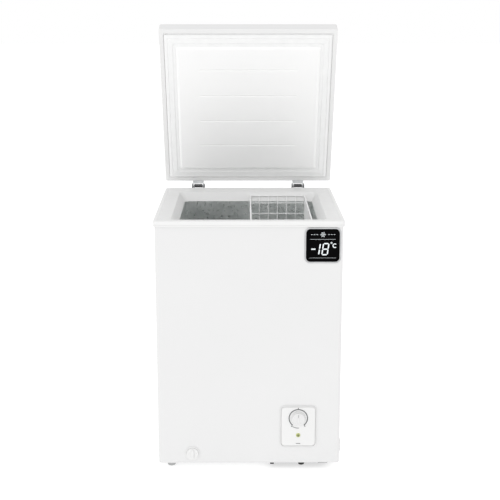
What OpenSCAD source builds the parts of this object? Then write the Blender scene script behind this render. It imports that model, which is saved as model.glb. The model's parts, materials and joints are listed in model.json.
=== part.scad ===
// Chest freezer with a spring-hinged lid, drawn with the lid open.
// Millimetres. +Z up, front towards -Y. The origin is on the floor, under the
// middle of the open freezer's box.

/* [Cabinet] */
// Width of the plastic rim round the opening
rim_w = 572; // [560:1:580]
// Depth of the plastic rim, front to back
rim_d = 560; // [550:1:566]
// Height of the rim above the floor
rim_h = 794; // [780:1:820]
// Distance that the rim stands proud of the painted shell, at the front and the sides
rim_lap = 4; // [3:0.5:5]
// Thickness of the painted sheet steel
sheet_t = 1; // [0.8:0.1:1.2]
// Height of the shell's lower edge above the floor
shell_z = 20; // [19:1:24]
// Radius of the shell's two front corners
shell_r = 10; // [10:1:12]

/* [Inside] */
// Width of the compartment
liner_w = 434; // [424:1:440]
// Depth of the compartment, front to back
liner_d = 422; // [412:1:426]
// Height of the compartment's floor above the floor of the room
liner_floor = 85; // [82:1:90]
// Height of the step over the compressor
step_z = 315; // [305:1:320]
// Where the step begins, measured from the middle
step_x = 40; // [30:1:45]

/* [Lid] */
// Width of the lid
lid_w = 574; // [572:1:576]
// Thickness of the lid
lid_t = 46; // [44:1:50]
// How far the lid is open
open_angle = 68.5; // [60:0.5:70]

/* [Controls] */
// Width of the control panel
panel_w = 112; // [106:1:114]
// Height of the control panel
panel_h = 135; // [130:1:140]
// Radius of the thermostat knob
knob_r = 22; // [18:1:24]
// Side of the square temperature display
display_w = 110; // [100:1:112]

/* [Basket] */
// Width of the basket between the middles of its rim wires
basket_w = 186; // [160:1:190]
// Depth of the basket below its rim
basket_h = 190; // [150:1:220]

/* [Hidden] */
$fn = 48;

// clearance between parts that pass each other
gap = 0.3;

// rim: its back is nearer the origin than its front, because the open lid leans out behind
rim_y0 = -302;
rim_y1 = rim_y0 + rim_d;
rim_y = (rim_y0 + rim_y1) / 2;
rim_r = 12;
bead_w = 12; // level strip at the rim's outer edge
seat_inset = 51; // from the rim's outer edge to the inner edge of its sloping seat
seat_drop = 6;
seat_r = 14;
lip_h = 18;
cap_t = 10;
funnel_h = 36; // from the rim's top down to the liner
collar_t = 3;

// painted shell
shell_w = rim_w - 2 * rim_lap;
shell_x = shell_w / 2;
shell_y0 = rim_y0 + rim_lap;
shell_y1 = rim_y1;
shell_top = rim_h - cap_t;
back_y = shell_y1 - sheet_t; // inner face of the back panel
hem_w = 45;
hem_z = shell_z + sheet_t;

// compressor bay, at the right under the step
bay_x = 88;
bay_z = 255;

// liner, a tub of embossed sheet
liner_t = 1;
liner_r = 20;
liner_top = rim_h - funnel_h;
flange_w = 8;

// lid: drawn closed, then turned open about the hinge pins
lid_z0 = rim_h + 5;
lid_z1 = lid_z0 + lid_t;
lid_y0 = rim_y0 - 4;
lid_y1 = rim_y1 + 2;
lid_y = (lid_y0 + lid_y1) / 2;
lid_d = lid_y1 - lid_y0;
lid_r = 6;
lid_sheet = 1.2;
band_w = 15; // the lid's plain lower edge, outside the seal
band_t = 4;
panel_t = 2;
plateau_z = rim_h - 8;
plateau_w = rim_w - 2 * seat_inset - 8;
plateau_d = rim_d - 2 * seat_inset - 8;
chamfer_w = 10;
groove_pitch = 93;
groove_y = rim_y - 7;
groove_len = 322;

// hinges
pin_y = lid_y1 + 18.5;
pin_z = rim_h + 3;
pin_r = 3;
pin_play = 0.06;
hinge_x = 174;
leaf_w = 37;
bracket_w = 43;
plate_t = 2.5;
knuckle_r = 7;
ear_r = 8;
spring_r = 5.2;
spring_wire = 1.3;
screw_r = 2;
head_r = 4;
head_t = 2;

// controls
panel_x = 152.5;
panel_z = 142.5;
panel_r = 14;
panel_y = shell_y0 - 4; // front face of the control panel
knob_z = panel_z + 27.5;
knob_t = 13;
shaft_r = 3;
scale_r = 28.5;
mark_t = 0.4; // how far printed marks stand proud
lens_z = panel_z - 28.5;
lens_r = 7;

// temperature display
display_x = 220.5;
display_z = 719;
display_t = 2.5;
face_w = display_w - 10;
face_y = shell_y0 - 3;

// water drain
drain_x = -176;
drain_y = -195; // where the tube turns up to the liner's floor
drain_z = 52.5;
drain_bore = 8;
plug_bore = 7;
drain_wall = 3;
dial_r = 18.6;

// basket: a round rim wire with flat grids under it
rim_wire = 2.5;
bar = 3;
basket_x0 = 7;
basket_x1 = basket_x0 + basket_w;
basket_z = rim_h - 18;
funnel_run = (rim_d - liner_d) / 2 - seat_inset; // how far the rim's inner wall slopes in
funnel_fall = funnel_h - seat_drop;
wire_inset = seat_inset + (18 - seat_drop) * funnel_run / funnel_fall;
wire_reach = (rim_wire + gap) * norm([funnel_run, funnel_fall]) / funnel_fall;
basket_d = floor(rim_d - 2 * (wire_inset + wire_reach));
grid_d = liner_d - 8;
grid_top = basket_z - rim_wire;
grid_z = basket_z - basket_h;

// refrigeration
motor_x = 166;
motor_y = 118;
motor_z = 44;
motor_r = 62;
motor_h = 146;
foot_dx = 58;
foot_dy = 48;
legs_z = 36;
legs_t = 3;
coil_z = [for (i = [0:5]) 340 + 70 * i];
evaporator_r = 3.5;
condenser_r = 2.5;
evaporator_in = liner_t + gap + evaporator_r; // from the liner's inside to the tube's middle
condenser_in = sheet_t + gap + condenser_r; // from the shell's outside to the tube's middle
drier_x = 130;
drier_y = 222;

// ---------------------------------------------------------------- shared shapes

// rectangle with round corners, about the origin
module rounded_rect(w, d, r) {
    square([w - 2 * r, d], center = true);
    square([w, d - 2 * r], center = true);
    for (sx = [-1, 1], sy = [-1, 1])
        translate([sx * (w / 2 - r), sy * (d / 2 - r)]) circle(r);
}

// upright block with round corners, from z0 to z1, about [x, y]
module block(w, d, r, z0, z1, x = 0, y = rim_y) {
    translate([x, y, z0]) linear_extrude(z1 - z0) rounded_rect(w, d, r);
}

// box between two opposite corners
module box(a, b) {
    translate(a) cube(b - a);
}

// flat tile facing the front; y0 is its front face and t its thickness
module tile(w, h, r, y0, t, x, z) {
    translate([x, y0 + t, z]) rotate([90, 0, 0]) linear_extrude(t) rounded_rect(w, h, r);
}

// what is drawn in the plan of X and Z, as a plate from y0 to y0 + t
module facing(y0, t, x, z) {
    translate([x, y0 + t, z]) rotate([90, 0, 0]) linear_extrude(t) children();
}

// what is drawn in the plan of Y and Z, as a plate from x0 to x1
module sideways(x0, x1) {
    translate([x0, 0, 0]) rotate([90, 0, 90]) linear_extrude(x1 - x0) children();
}

// round rods along Y, X and Z
module rod_y(r, y0, y1, x, z) {
    translate([x, y1, z]) rotate([90, 0, 0]) cylinder(r = r, h = y1 - y0);
}

module rod_x(r, x0, x1, y, z) {
    translate([x0, y, z]) rotate([0, 90, 0]) cylinder(r = r, h = x1 - x0);
}

module rod_z(r, z0, z1, x, y) {
    translate([x, y, z0]) cylinder(r = r, h = z1 - z0);
}

// tapered block between two level outlines
module slope(w0, d0, r0, z0, w1, d1, r1, z1) {
    skin = 0.01;
    hull() {
        translate([0, rim_y, z0]) linear_extrude(skin) rounded_rect(w0, d0, r0, $fn = 32);
        translate([0, rim_y, z1 - skin]) linear_extrude(skin) rounded_rect(w1, d1, r1, $fn = 32);
    }
}

// level loop of round tube with round corners
module tube_loop(w, d, r, tube, z, x = 0, y = rim_y) {
    translate([x, y, z]) {
        for (s = [-1, 1]) {
            rod_x(tube, r - w / 2, w / 2 - r, s * d / 2, 0);
            rod_y(tube, r - d / 2, d / 2 - r, s * w / 2, 0);
        }
        for (i = [0:3], sx = i == 0 || i == 3 ? 1 : -1, sy = i < 2 ? 1 : -1)
            translate([sx * (w / 2 - r), sy * (d / 2 - r), 0]) rotate([0, 0, 90 * i])
                rotate_extrude(angle = 90) translate([r, 0]) circle(tube);
    }
}

// shell's plan, inset by t, with square back corners; its back runs on by extra
module shell_plan(t, extra = 0) {
    r = shell_r - t;
    x = shell_x - t;
    y0 = shell_y0 + t;
    translate([-x, y0 + r]) square([2 * x, shell_y1 + extra - y0 - r]);
    translate([r - x, y0]) square([2 * (x - r), r + 1]);
    for (s = [-1, 1]) translate([s * (x - r), y0 + r]) circle(r);
}

// the liner's hollow, grown by t, from its floor up to z1
module tub(t, z1) {
    w = liner_w + 2 * t;
    d = liner_d + 2 * t;
    low_w = liner_w / 2 + step_x + 2 * t;
    block(w, d, liner_r + t, step_z - t, z1);
    block(low_w, d, liner_r + t, liner_floor - t, step_z + 1, (low_w - w) / 2);
}

// the space over the rim's sloping seat, and the space inside the rim's sloping wall
module seat_space(z1) {
    slope(rim_w - 2 * seat_inset, rim_d - 2 * seat_inset, seat_r, rim_h - seat_drop,
        rim_w - 2 * bead_w, rim_d - 2 * bead_w, bead_w / 2, rim_h);
    block(rim_w - 2 * bead_w, rim_d - 2 * bead_w, bead_w / 2, rim_h - 0.01, z1);
}

module funnel(t, z0) {
    slope(liner_w + 2 * t, liner_d + 2 * t, liner_r + t, z0, rim_w - 2 * (seat_inset - t),
        rim_d - 2 * (seat_inset - t), seat_r + t, rim_h - seat_drop);
}

module opened() {
    translate([0, pin_y, pin_z]) rotate([-open_angle, 0, 0])
        translate([0, -pin_y, -pin_z]) children();
}

module at_hinges() {
    for (s = [-1, 1]) translate([s * hinge_x, 0, 0]) children();
}

module at_motor_feet() {
    for (sx = [-1, 1], sy = [-1, 1])
        translate([motor_x + sx * foot_dx, motor_y + sy * foot_dy, 0]) children();
}

module at_grille_corners() {
    for (x = [bay_x + 8, shell_x - 12], z = [34, 240]) translate([x, 0, z]) children();
}

// pan-head screw along Y: its head sits on the face at y, and it reaches in by reach
module screw_y(y, reach, x, z) {
    rod_y(head_r, y, y + head_t, x, z);
    rod_y(screw_r, y - reach, y + 0.5, x, z);
}

module bracket_holes() {
    for (p = [[-10, 732], [10, 732], [0, 765]]) translate([p[0], 0, p[1]]) children();
}

module leaf_holes() {
    for (x = [-8, 8]) translate([x, 0, lid_z0 + 34]) children();
}

// ---------------------------------------------------------------- cabinet

module cabinet_wrap() color("white") difference() {
    union() {
        translate([0, 0, shell_z]) linear_extrude(shell_top - shell_z) difference() {
            shell_plan(0, -sheet_t);
            shell_plan(sheet_t, 5);
        }
        // hem turned in under the front and the sides
        translate([0, 0, shell_z]) linear_extrude(sheet_t) difference() {
            shell_plan(0, -sheet_t);
            translate([hem_w - shell_x, shell_y0 + hem_w]) square(2 * (shell_x - hem_w));
        }
    }
    tile(panel_w - 9, panel_h - 9, panel_r - 4, shell_y0 - 1, 4, panel_x, panel_z);
    rod_y(16, shell_y0 - 1, shell_y0 + 3, drain_x, drain_z);
    vent_spigot(gap);
}

module back_panel() color("gainsboro") difference() {
    box([-shell_x, back_y, shell_z], [shell_x, shell_y1, shell_top]);
    box([bay_x + 14, back_y - 1, 40], [shell_x - 18, shell_y1 + 1, 234]);
    at_grille_corners() rod_y(screw_r + 0.2, back_y - 1, shell_y1 + 1, 0, 0);
    at_hinges() bracket_holes() rod_y(screw_r + 0.2, back_y - 1, shell_y1 + 1, 0, 0);
}

// floor of the shell, side of the compressor bay and its ceiling, as one folded sheet
module bottom_panel() color("silver") {
    x = shell_x - sheet_t;
    translate([0, back_y, 0]) rotate([90, 0, 0]) linear_extrude(back_y - shell_y0 - shell_r) {
        translate([-x, hem_z]) square([x + bay_x, sheet_t]);
        translate([bay_x - sheet_t, hem_z]) square([sheet_t, bay_z + sheet_t - hem_z]);
        translate([bay_x - sheet_t, bay_z]) square([x - bay_x + sheet_t, sheet_t]);
    }
}

module cabinet_foam() color("khaki") difference() {
    translate([0, 0, hem_z + sheet_t]) linear_extrude(shell_top - hem_z - sheet_t)
        shell_plan(sheet_t + gap, -sheet_t);
    tub(liner_t + gap, shell_top + 1);
    funnel(collar_t + gap, liner_top - gap);
    block(liner_w + 2 * flange_w + 1, liner_d + 2 * flange_w + 1, liner_r + flange_w,
        liner_top - 1 - gap, liner_top + gap);
    box([bay_x - sheet_t - gap, shell_y0 - 1, 0], [shell_x + 1, shell_y1 + 1, bay_z + sheet_t]);
    coil_channels();
    drain_outline(drain_wall + gap);
}

// room for the refrigerant tubes on both faces of the foam
module coil_channels() {
    inner = liner_t + 2 * evaporator_r + 2;
    outer = sheet_t + 2 * condenser_r + 2;
    back = rim_y + liner_d / 2;
    for (z = coil_z) {
        block(liner_w + 2 * inner, liner_d + 2 * inner, liner_r + inner,
            z - evaporator_r - 1, z + evaporator_r + 1);
        translate([0, 0, z - condenser_r - 1]) linear_extrude(2 * condenser_r + 2) difference() {
            shell_plan(-2, 0);
            shell_plan(outer, 5);
        }
    }
    box([-70, back, coil_z[0] - 4], [70, back + inner, coil_z[5] + 4]);
    for (s = [-1, 1])
        translate([s * (shell_x - outer / 2), back_y - 12, coil_z[0]])
            translate([-outer / 2, -condenser_r - 1, 0])
                cube([outer, 14 + condenser_r, coil_z[5] - coil_z[0]]);
}

module inner_liner() color("silver") difference() {
    union() {
        tub(liner_t, liner_top);
        block(liner_w + 2 * flange_w, liner_d + 2 * flange_w, liner_r + flange_w,
            liner_top - 1, liner_top);
    }
    tub(0, liner_top + 1);
    rod_z(plug_bore, liner_floor - 3, liner_floor + 3, drain_x, drain_y);
}

module top_collar() color("white") difference() {
    union() {
        difference() {
            block(rim_w, rim_d, rim_r, rim_h - lip_h, rim_h);
            translate([0, 0, rim_h - lip_h - 1]) linear_extrude(lip_h - cap_t + 1)
                shell_plan(-0.2, 20);
        }
        funnel(collar_t, liner_top);
    }
    seat_space(rim_h + 1);
    funnel(0, liner_top);
    block(liner_w, liner_d, liner_r, liner_top - 1, liner_top + 0.01);
    // shallow groove round the outer lip
    difference() {
        block(rim_w + 2, rim_d + 2, rim_r, rim_h - 13.5, rim_h - 12);
        block(rim_w - 2, rim_d - 2, rim_r - 1, rim_h - 14, rim_h - 11);
    }
}

// ---------------------------------------------------------------- compressor bay

module base_plate() color("dimgray") difference() {
    union() {
        box([66, shell_y0 + 8, shell_z - 2], [246, shell_y1, shell_z]);
        box([66, shell_y0 + 10, 11], [78, back_y - 10, shell_z - 2]);
        box([216, shell_y0 + 10, 15], [246, back_y - 10, shell_z - 2]);
    }
    at_motor_feet() rod_z(4.1, 0, shell_z + 1, 0, 0);
}

module compressor_shell() color("black") {
    round_r = 30;
    translate([motor_x, motor_y, motor_z]) rotate_extrude() {
        square([motor_r - round_r, motor_h]);
        translate([0, round_r]) square([motor_r, motor_h - 2 * round_r]);
        translate([motor_r - round_r, round_r]) circle(round_r);
        translate([motor_r - round_r, motor_h - round_r]) circle(round_r);
        // welded seam
        translate([0, motor_h * 0.48]) square([motor_r + 2.5, 5]);
    }
}

module compressor_legs() color("black") difference() {
    union() {
        block(150, 124, 16, legs_z, legs_z + legs_t, motor_x, motor_y);
        rod_z(34, legs_z, motor_z, motor_x, motor_y);
    }
    at_motor_feet() rod_z(8, legs_z - 1, motor_z, 0, 0);
}

module compressor_grommets() color("black") at_motor_feet() difference() {
    union() {
        rod_z(12, shell_z, legs_z, 0, 0);
        rod_z(7.9, legs_z, legs_z + legs_t, 0, 0);
        rod_z(11, legs_z + legs_t, legs_z + legs_t + 3, 0, 0);
    }
    rod_z(4, shell_z - 1, motor_z, 0, 0);
}

module compressor_bolts() color("silver") at_motor_feet() {
    rod_z(3.8, shell_z - 4, legs_z + 7, 0, 0);
    translate([0, 0, legs_z + 6]) cylinder(r = 7, h = 5, $fn = 6);
}

module relay_cover() color("black") difference() {
    box([motor_x - 20, motor_y - motor_r - 24, 92], [motor_x + 20, motor_y - motor_r + 4, 148]);
    rod_z(motor_r + 2.8, 80, 160, motor_x, motor_y);
}

module refrigerant_tubes() color("peru") difference() {
    union() {
        rod_x(3.2, motor_x - motor_r - 11, motor_x - motor_r + 4, motor_y, 150);
        rod_z(2.8, 150, bay_z, motor_x - motor_r - 8, motor_y);
        rod_x(3, motor_x + motor_r - 4, motor_x + motor_r + 13, motor_y, 140);
        rod_z(2.6, 140, bay_z, motor_x + motor_r + 10, motor_y);
    }
    rod_z(motor_r + gap, 120, 170, motor_x, motor_y);
}

module filter_drier() color("peru") {
    rod_z(9, 112, 190, drier_x, drier_y);
    translate([drier_x, drier_y, 190]) cylinder(r1 = 9, r2 = 3, h = 10);
    translate([drier_x, drier_y, 102]) cylinder(r1 = 2, r2 = 9, h = 10);
    rod_z(3, 195, bay_z, drier_x, drier_y);
}

module capillary_tube() color("peru") {
    coil_r = 16;
    for (i = [0:3]) translate([drier_x - coil_r, drier_y, 60 + 2 * i])
        rotate_extrude() translate([coil_r, 0]) circle(1.3);
    rod_z(1, 66, 102, drier_x, drier_y);
    rod_z(1, 66, bay_z, drier_x - 2 * coil_r, drier_y);
}

module evaporator_coil() color("peru") {
    w = liner_w + 2 * evaporator_in;
    d = liner_d + 2 * evaporator_in;
    for (i = [0:5]) tube_loop(w, d, liner_r + evaporator_in, evaporator_r, coil_z[i]);
    for (i = [0:4])
        rod_z(evaporator_r - 0.5, coil_z[i], coil_z[i + 1], i % 2 ? 60 : -60, rim_y + d / 2);
}

// warm tube behind the painted front and sides
module condenser_coil() color("peru") {
    x = shell_x - condenser_in;
    y0 = shell_y0 + condenser_in;
    y1 = back_y - 10;
    r = shell_r - condenser_in;
    for (z = coil_z) {
        rod_x(condenser_r, r - x, x - r, y0, z);
        for (s = [-1, 1]) {
            rod_y(condenser_r, y0 + r, y1, s * x, z);
            translate([s * (x - r), y0 + r, z]) rotate([0, 0, s > 0 ? 270 : 180])
                rotate_extrude(angle = 90) translate([r, 0]) circle(condenser_r);
        }
    }
    for (i = [0:4])
        rod_z(condenser_r - 0.4, coil_z[i], coil_z[i + 1], i % 2 ? x : -x, y1 - 3);
}

// ---------------------------------------------------------------- controls

module control_panel() color("whitesmoke") difference() {
    union() {
        tile(panel_w, panel_h, panel_r, panel_y, shell_y0 - panel_y, panel_x, panel_z);
        tile(panel_w - 10, panel_h - 10, panel_r - 5, shell_y0, 4, panel_x, panel_z);
    }
    rod_y(shaft_r + 0.5, panel_y - 1, shell_y0 + 5, panel_x, knob_z);
    rod_y(lens_r, panel_y - 1, shell_y0 + 5, panel_x, lens_z);
}

// the printed temperature scale, its end marks and a plain bar under the lamp
module dial_scale() color("dimgray") {
    facing(panel_y - mark_t, mark_t, panel_x, knob_z) {
        rotate(-52) intersection() {
            difference() {
                circle(scale_r + 1.4);
                circle(scale_r - 1.4);
            }
            scale_sector(284);
        }
        for (a = [-52, 90, 232]) rotate(a) translate([scale_r, -1.2]) square([6, 2.4]);
    }
    facing(panel_y - mark_t, mark_t, panel_x, panel_z - 56) square([15, 3.5], center = true);
}

// plan sector from 0 to a degrees, wide enough for the scale; a is over 270
module scale_sector(a) {
    reach = 2 * scale_r;
    difference() {
        square(2 * reach, center = true);
        polygon([[0, 0], [reach, 0], [reach, -reach], [reach * cos(a), reach * sin(a)]]);
    }
}

module thermostat_body() color("beige") difference() {
    union() {
        box([panel_x - 19, shell_y0 + 14, knob_z - 22], [panel_x + 19, shell_y0 + 50, knob_z + 22]);
        rod_y(7, shell_y0 + 4, shell_y0 + 14, panel_x, knob_z);
    }
    rod_y(shaft_r + pin_play, shell_y0, shell_y0 + 26, panel_x, knob_z);
}

module sensor_tube() color("peru") {
    rod_z(1.5, knob_z + 22, bay_z, panel_x, shell_y0 + 34);
    rod_z(4, bay_z - 8, bay_z, panel_x, shell_y0 + 34);
}

module indicator_lamp() color("beige") {
    rod_y(9, shell_y0 + 4, shell_y0 + 22, panel_x, lens_z);
    for (s = [-1, 1])
        box([panel_x + s * 4 - 0.5, shell_y0 + 22, lens_z - 3],
            [panel_x + s * 4 + 0.5, shell_y0 + 31, lens_z + 3]);
}

module indicator_lens() color("olivedrab") {
    rod_y(lens_r - 0.1, panel_y - 1, shell_y0 + 4, panel_x, lens_z);
}

module thermostat_knob() color("white") difference() {
    union() {
        rod_y(knob_r, panel_y - 5, panel_y - 0.5, panel_x, knob_z);
        rod_y(knob_r - 3, panel_y - knob_t, panel_y - 5, panel_x, knob_z);
    }
    rod_y(shaft_r, panel_y - 9, panel_y, panel_x, knob_z);
}

module knob_pointer() color("dimgray") {
    box([panel_x - 1, panel_y - knob_t - mark_t, knob_z + 5],
        [panel_x + 1, panel_y - knob_t, knob_z + 16]);
}

module thermostat_shaft() color("silver") {
    rod_y(shaft_r, panel_y - 9, shell_y0 + 24, panel_x, knob_z);
}

module display_bezel() color("lightgray") difference() {
    tile(display_w, display_w, 17, shell_y0 - display_t, display_t, display_x, display_z);
    tile(face_w, face_w, 13.2, shell_y0 - display_t - 1, display_t + 2, display_x, display_z);
}

module display_face() color("black") {
    tile(face_w - 0.4, face_w - 0.4, 13, face_y, shell_y0 - face_y, display_x, display_z);
}

// one figure of seven bars: on lists top, upper right, lower right, bottom, lower left,
// upper left and middle
module figure(on, w, h, s) {
    middles = [[w / 2, h], [w, h * 0.75], [w, h * 0.25], [w / 2, 0], [0, h * 0.25],
        [0, h * 0.75], [w / 2, h / 2]];
    for (i = [0:6]) if (on[i])
        translate(middles[i])
            square(i == 1 || i == 2 || i == 4 || i == 5 ? [s, h / 2 - s - 1] : [w - s - 1, s],
                center = true);
}

module display_segments() color("white") facing(face_y - mark_t, mark_t, display_x, display_z) {
    // reading of eighteen degrees below zero
    translate([-26, -11]) square([12, 4.5], center = true);
    translate([-20, -29]) figure([0, 1, 1, 0, 0, 0, 0], 9, 36, 4.5);
    translate([-3, -29]) figure([1, 1, 1, 1, 1, 1, 1], 17, 36, 4.5);
    translate([27, 4]) difference() {
        circle(3);
        circle(1.6);
    }
    translate([33, -9]) figure([1, 0, 0, 1, 1, 1, 0], 8, 13, 2.4);
    // line under a plain snowflake
    translate([0, 19]) square([78, 1], center = true);
    translate([0, 33]) for (a = [0, 60, 120]) rotate(a) square([20, 1.6], center = true);
}

// ---------------------------------------------------------------- vents, feet, drain

// the vent's part that reaches through the shell, grown by t
module vent_spigot(t) {
    box([shell_x - 5, shell_y0 + 24 - t, 58 - t], [shell_x + 1, shell_y0 + 190 + t, 80 + t]);
}

module side_vent() color("white") difference() {
    union() {
        box([shell_x, shell_y0 + 16, 51], [shell_x + 3.5, shell_y0 + 198, 87]);
        intersection() {
            vent_spigot(0);
            box([0, -400, 0], [shell_x, 400, 400]);
        }
    }
    for (z = [62, 69, 76], i = [0:3])
        box([shell_x - 6, shell_y0 + 30 + 40 * i, z - 2],
            [shell_x + 4, shell_y0 + 64 + 40 * i, z + 2]);
}

module rear_grille() color("dimgray") difference() {
    box([bay_x, shell_y1, 26], [shell_x - 4, shell_y1 + 2, 248]);
    for (i = [0:11])
        box([bay_x + 24, shell_y1 - 1, 66 + 14 * i], [shell_x - 26, shell_y1 + 3, 73 + 14 * i]);
    at_grille_corners() rod_y(screw_r + 0.2, shell_y1 - 1, shell_y1 + 3, 0, 0);
    rod_y(6.1, shell_y1 - 1, shell_y1 + 3, bay_x + 30, 50);
}

module grille_screws() color("silver") at_grille_corners()
    screw_y(shell_y1 + 2, 2 + sheet_t, 0, 0);

// where the mains lead comes out
module cord_gland() color("black") translate([bay_x + 30, 0, 50]) difference() {
    union() {
        rod_y(6, shell_y1 - 8, shell_y1 + 2, 0, 0);
        rod_y(9, shell_y1 + 2, shell_y1 + 5, 0, 0);
        translate([0, shell_y1 + 5, 0]) rotate([-90, 0, 0]) cylinder(r1 = 7, r2 = 5, h = 11);
    }
    rod_y(3.6, shell_y1 + 2, shell_y1 + 17, 0, 0);
    rod_y(4.4, shell_y1 - 9, shell_y1 + 2.2, 0, 0);
}

module left_feet() color("gray") for (y = [shell_y0 + 36, back_y - 32])
    translate([-244, y, 0]) cylinder(r1 = 12, r2 = 16, h = shell_z);

module right_feet() color("gray") for (y = [shell_y0 + 36, back_y - 32])
    translate([165, y, 0]) {
        cylinder(r1 = 9, r2 = 13, h = shell_z - 5);
        rod_z(21, shell_z - 5, shell_z - 2, 0, 0);
    }

module rear_spacers() color("gray") for (s = [-1, 1]) {
    rod_y(14, shell_y1, shell_y1 + 3, s * 232, 600);
    rod_y(9, shell_y1 + 3, shell_y1 + 26, s * 232, 600);
}

// outside of the drain's tube and elbow, with walls t thick
module drain_outline(t) {
    r = drain_bore + t;
    rod_z(plug_bore + t, drain_z, liner_floor - liner_t, drain_x, drain_y);
    rod_y(r, shell_y0 + sheet_t, drain_y + 1, drain_x, drain_z);
    box([drain_x - r, drain_y - r, drain_z - r], [drain_x + r, drain_y + r, drain_z + r]);
}

module drain_tube() color("white") difference() {
    drain_outline(drain_wall);
    rod_z(plug_bore, drain_z, liner_floor + 1, drain_x, drain_y);
    rod_y(drain_bore, shell_y0, drain_y + 4, drain_x, drain_z);
}

module drain_bezel() color("white") difference() {
    rod_y(22.5, shell_y0 - 2.5, shell_y0, drain_x, drain_z);
    rod_y(dial_r + 0.4, shell_y0 - 3, shell_y0 + 1, drain_x, drain_z);
}

module drain_spout() color("white") difference() {
    rod_y(drain_bore - 0.05, shell_y0 - 2.8, shell_y0 + 60, drain_x, drain_z);
    rod_y(5, shell_y0 - 4, shell_y0 + 61, drain_x, drain_z);
}

module drain_dial() color("white") difference() {
    union() {
        rod_y(dial_r, shell_y0 - 5, shell_y0 - 0.5, drain_x, drain_z);
        box([drain_x - 4, shell_y0 - 9, drain_z - 15], [drain_x + 4, shell_y0 - 5, drain_z + 15]);
    }
    rod_y(drain_bore, shell_y0 - 3, shell_y0, drain_x, drain_z);
}

module drain_plug() color("white") {
    rod_z(plug_bore - 0.1, liner_floor - 10, liner_floor + 1, drain_x, drain_y);
    rod_z(13, liner_floor, liner_floor + 3, drain_x, drain_y);
    rod_z(4, liner_floor + 3, liner_floor + 10, drain_x, drain_y);
}

// ---------------------------------------------------------------- hinges

// side plate of a bracket, from the back panel to the pin
module ear_plan() {
    polygon([[shell_y1, 735], [shell_y1, 790], [pin_y - 5.6, pin_z + 5.6],
        [pin_y + 7, pin_z - 3.8], [shell_y1 + 10, 735]]);
    translate([pin_y, pin_z]) circle(ear_r);
}

module hinge_brackets() color("dimgray") at_hinges() difference() {
    x = bracket_w / 2;
    union() {
        box([-x, shell_y1, 715], [x, shell_y1 + plate_t, 791]);
        sideways(-x, plate_t - x) ear_plan();
        sideways(x - plate_t, x) ear_plan();
    }
    rod_x(pin_r, -x - 1, x + 1, pin_y, pin_z);
    bracket_holes() rod_y(screw_r + 0.2, shell_y1 - 1, shell_y1 + 4, 0, 0);
}

module hinge_pins() color("silver") at_hinges() {
    rod_x(pin_r, -bracket_w / 2, bracket_w / 2 + 1, pin_y, pin_z);
    rod_x(pin_r + 1.5, bracket_w / 2, bracket_w / 2 + 2, pin_y, pin_z);
}

module hinge_springs() color("gray") at_hinges() {
    for (x = [-14:2:14]) translate([x, pin_y, pin_z]) rotate([0, 90, 0])
        rotate_extrude() translate([spring_r, 0]) circle(spring_wire);
    // fixed leg, from the coil to the bracket
    rod_y(spring_wire - 0.1, shell_y1 + plate_t, pin_y, -14, pin_z - spring_r);
}

module bracket_screws() color("silver") at_hinges() bracket_holes()
    screw_y(shell_y1 + plate_t, plate_t + sheet_t, 0, 0);

// side cheek of a leaf, from the lid's back to the pin
module cheek_plan() {
    polygon([[lid_y1 + 2.4, lid_z0 + 4], [lid_y1 + 2.4, lid_z0 + 30],
        [pin_y + 4.5, pin_z + 5.4], [pin_y - 4, pin_z - 5.7]]);
    translate([pin_y, pin_z]) circle(knuckle_r);
}

// sloping front of a leaf, between its cheeks
module web_plan() {
    polygon([[lid_y1, lid_z0 + 4.2], [lid_y1 + 1, lid_z0 + 6.5], [pin_y - 7.5, pin_z + 2.8],
        [pin_y - 8.5, pin_z + 0.8]]);
}

module hinge_leaves() color("silver") opened() at_hinges() difference() {
    x = leaf_w / 2;
    union() {
        box([-x, lid_y1, lid_z0 + 4], [x, lid_y1 + plate_t, lid_z1 - 4]);
        sideways(-x, plate_t - x) cheek_plan();
        sideways(x - plate_t, x) cheek_plan();
        sideways(-x + 1, x - 1) web_plan();
    }
    rod_x(pin_r + pin_play, -x - 1, x + 1, pin_y, pin_z);
    leaf_holes() rod_y(screw_r + 0.2, lid_y1 - 1, lid_y1 + 4, 0, 0);
}

module leaf_screws() color("silver") opened() at_hinges() leaf_holes()
    screw_y(lid_y1 + plate_t, plate_t + lid_sheet, 0, 0);

// ---------------------------------------------------------------- lid

module lid_shell() color("white") opened() difference() {
    block(lid_w, lid_d, lid_r, lid_z0 + band_t, lid_z1, 0, lid_y);
    block(lid_w - 2 * lid_sheet, lid_d - 2 * lid_sheet, lid_r - lid_sheet,
        lid_z0, lid_z1 - lid_sheet, 0, lid_y);
    at_hinges() leaf_holes() rod_y(screw_r + 0.2, lid_y1 - 3, lid_y1 + 1, 0, 0);
}

module lid_frame() color("white") opened() difference() {
    block(lid_w, lid_d, lid_r, lid_z0, lid_z0 + band_t, 0, lid_y);
    block(lid_w - 2 * band_w, lid_d - 2 * band_w, 4, lid_z0 - 1, lid_z0 + band_t + 1, 0, lid_y);
}

// the tapered plug of the inner panel, inset by t
module plug_space(t, z0, z1) {
    slope(plateau_w - 2 * t, plateau_d - 2 * t, 8 - t / 2, z0,
        plateau_w + 2 * (chamfer_w - t), plateau_d + 2 * (chamfer_w - t), 12 - t / 2, z1);
}

module lid_panel() color("white") opened() difference() {
    base_z = lid_z0 + band_t;
    inset = 2 * (lid_sheet + gap);
    union() {
        block(lid_w - inset, lid_d - inset, lid_r - lid_sheet - gap, base_z, base_z + panel_t,
            0, lid_y);
        plug_space(0, plateau_z, base_z + 0.5);
    }
    plug_space(panel_t, plateau_z + panel_t, base_z + panel_t + 0.01);
    for (i = [0:3])
        translate([-groove_len / 2, groove_y + (i - 1.5) * groove_pitch - 2.5, plateau_z - 1])
            cube([groove_len, 5, 2]);
}

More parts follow.
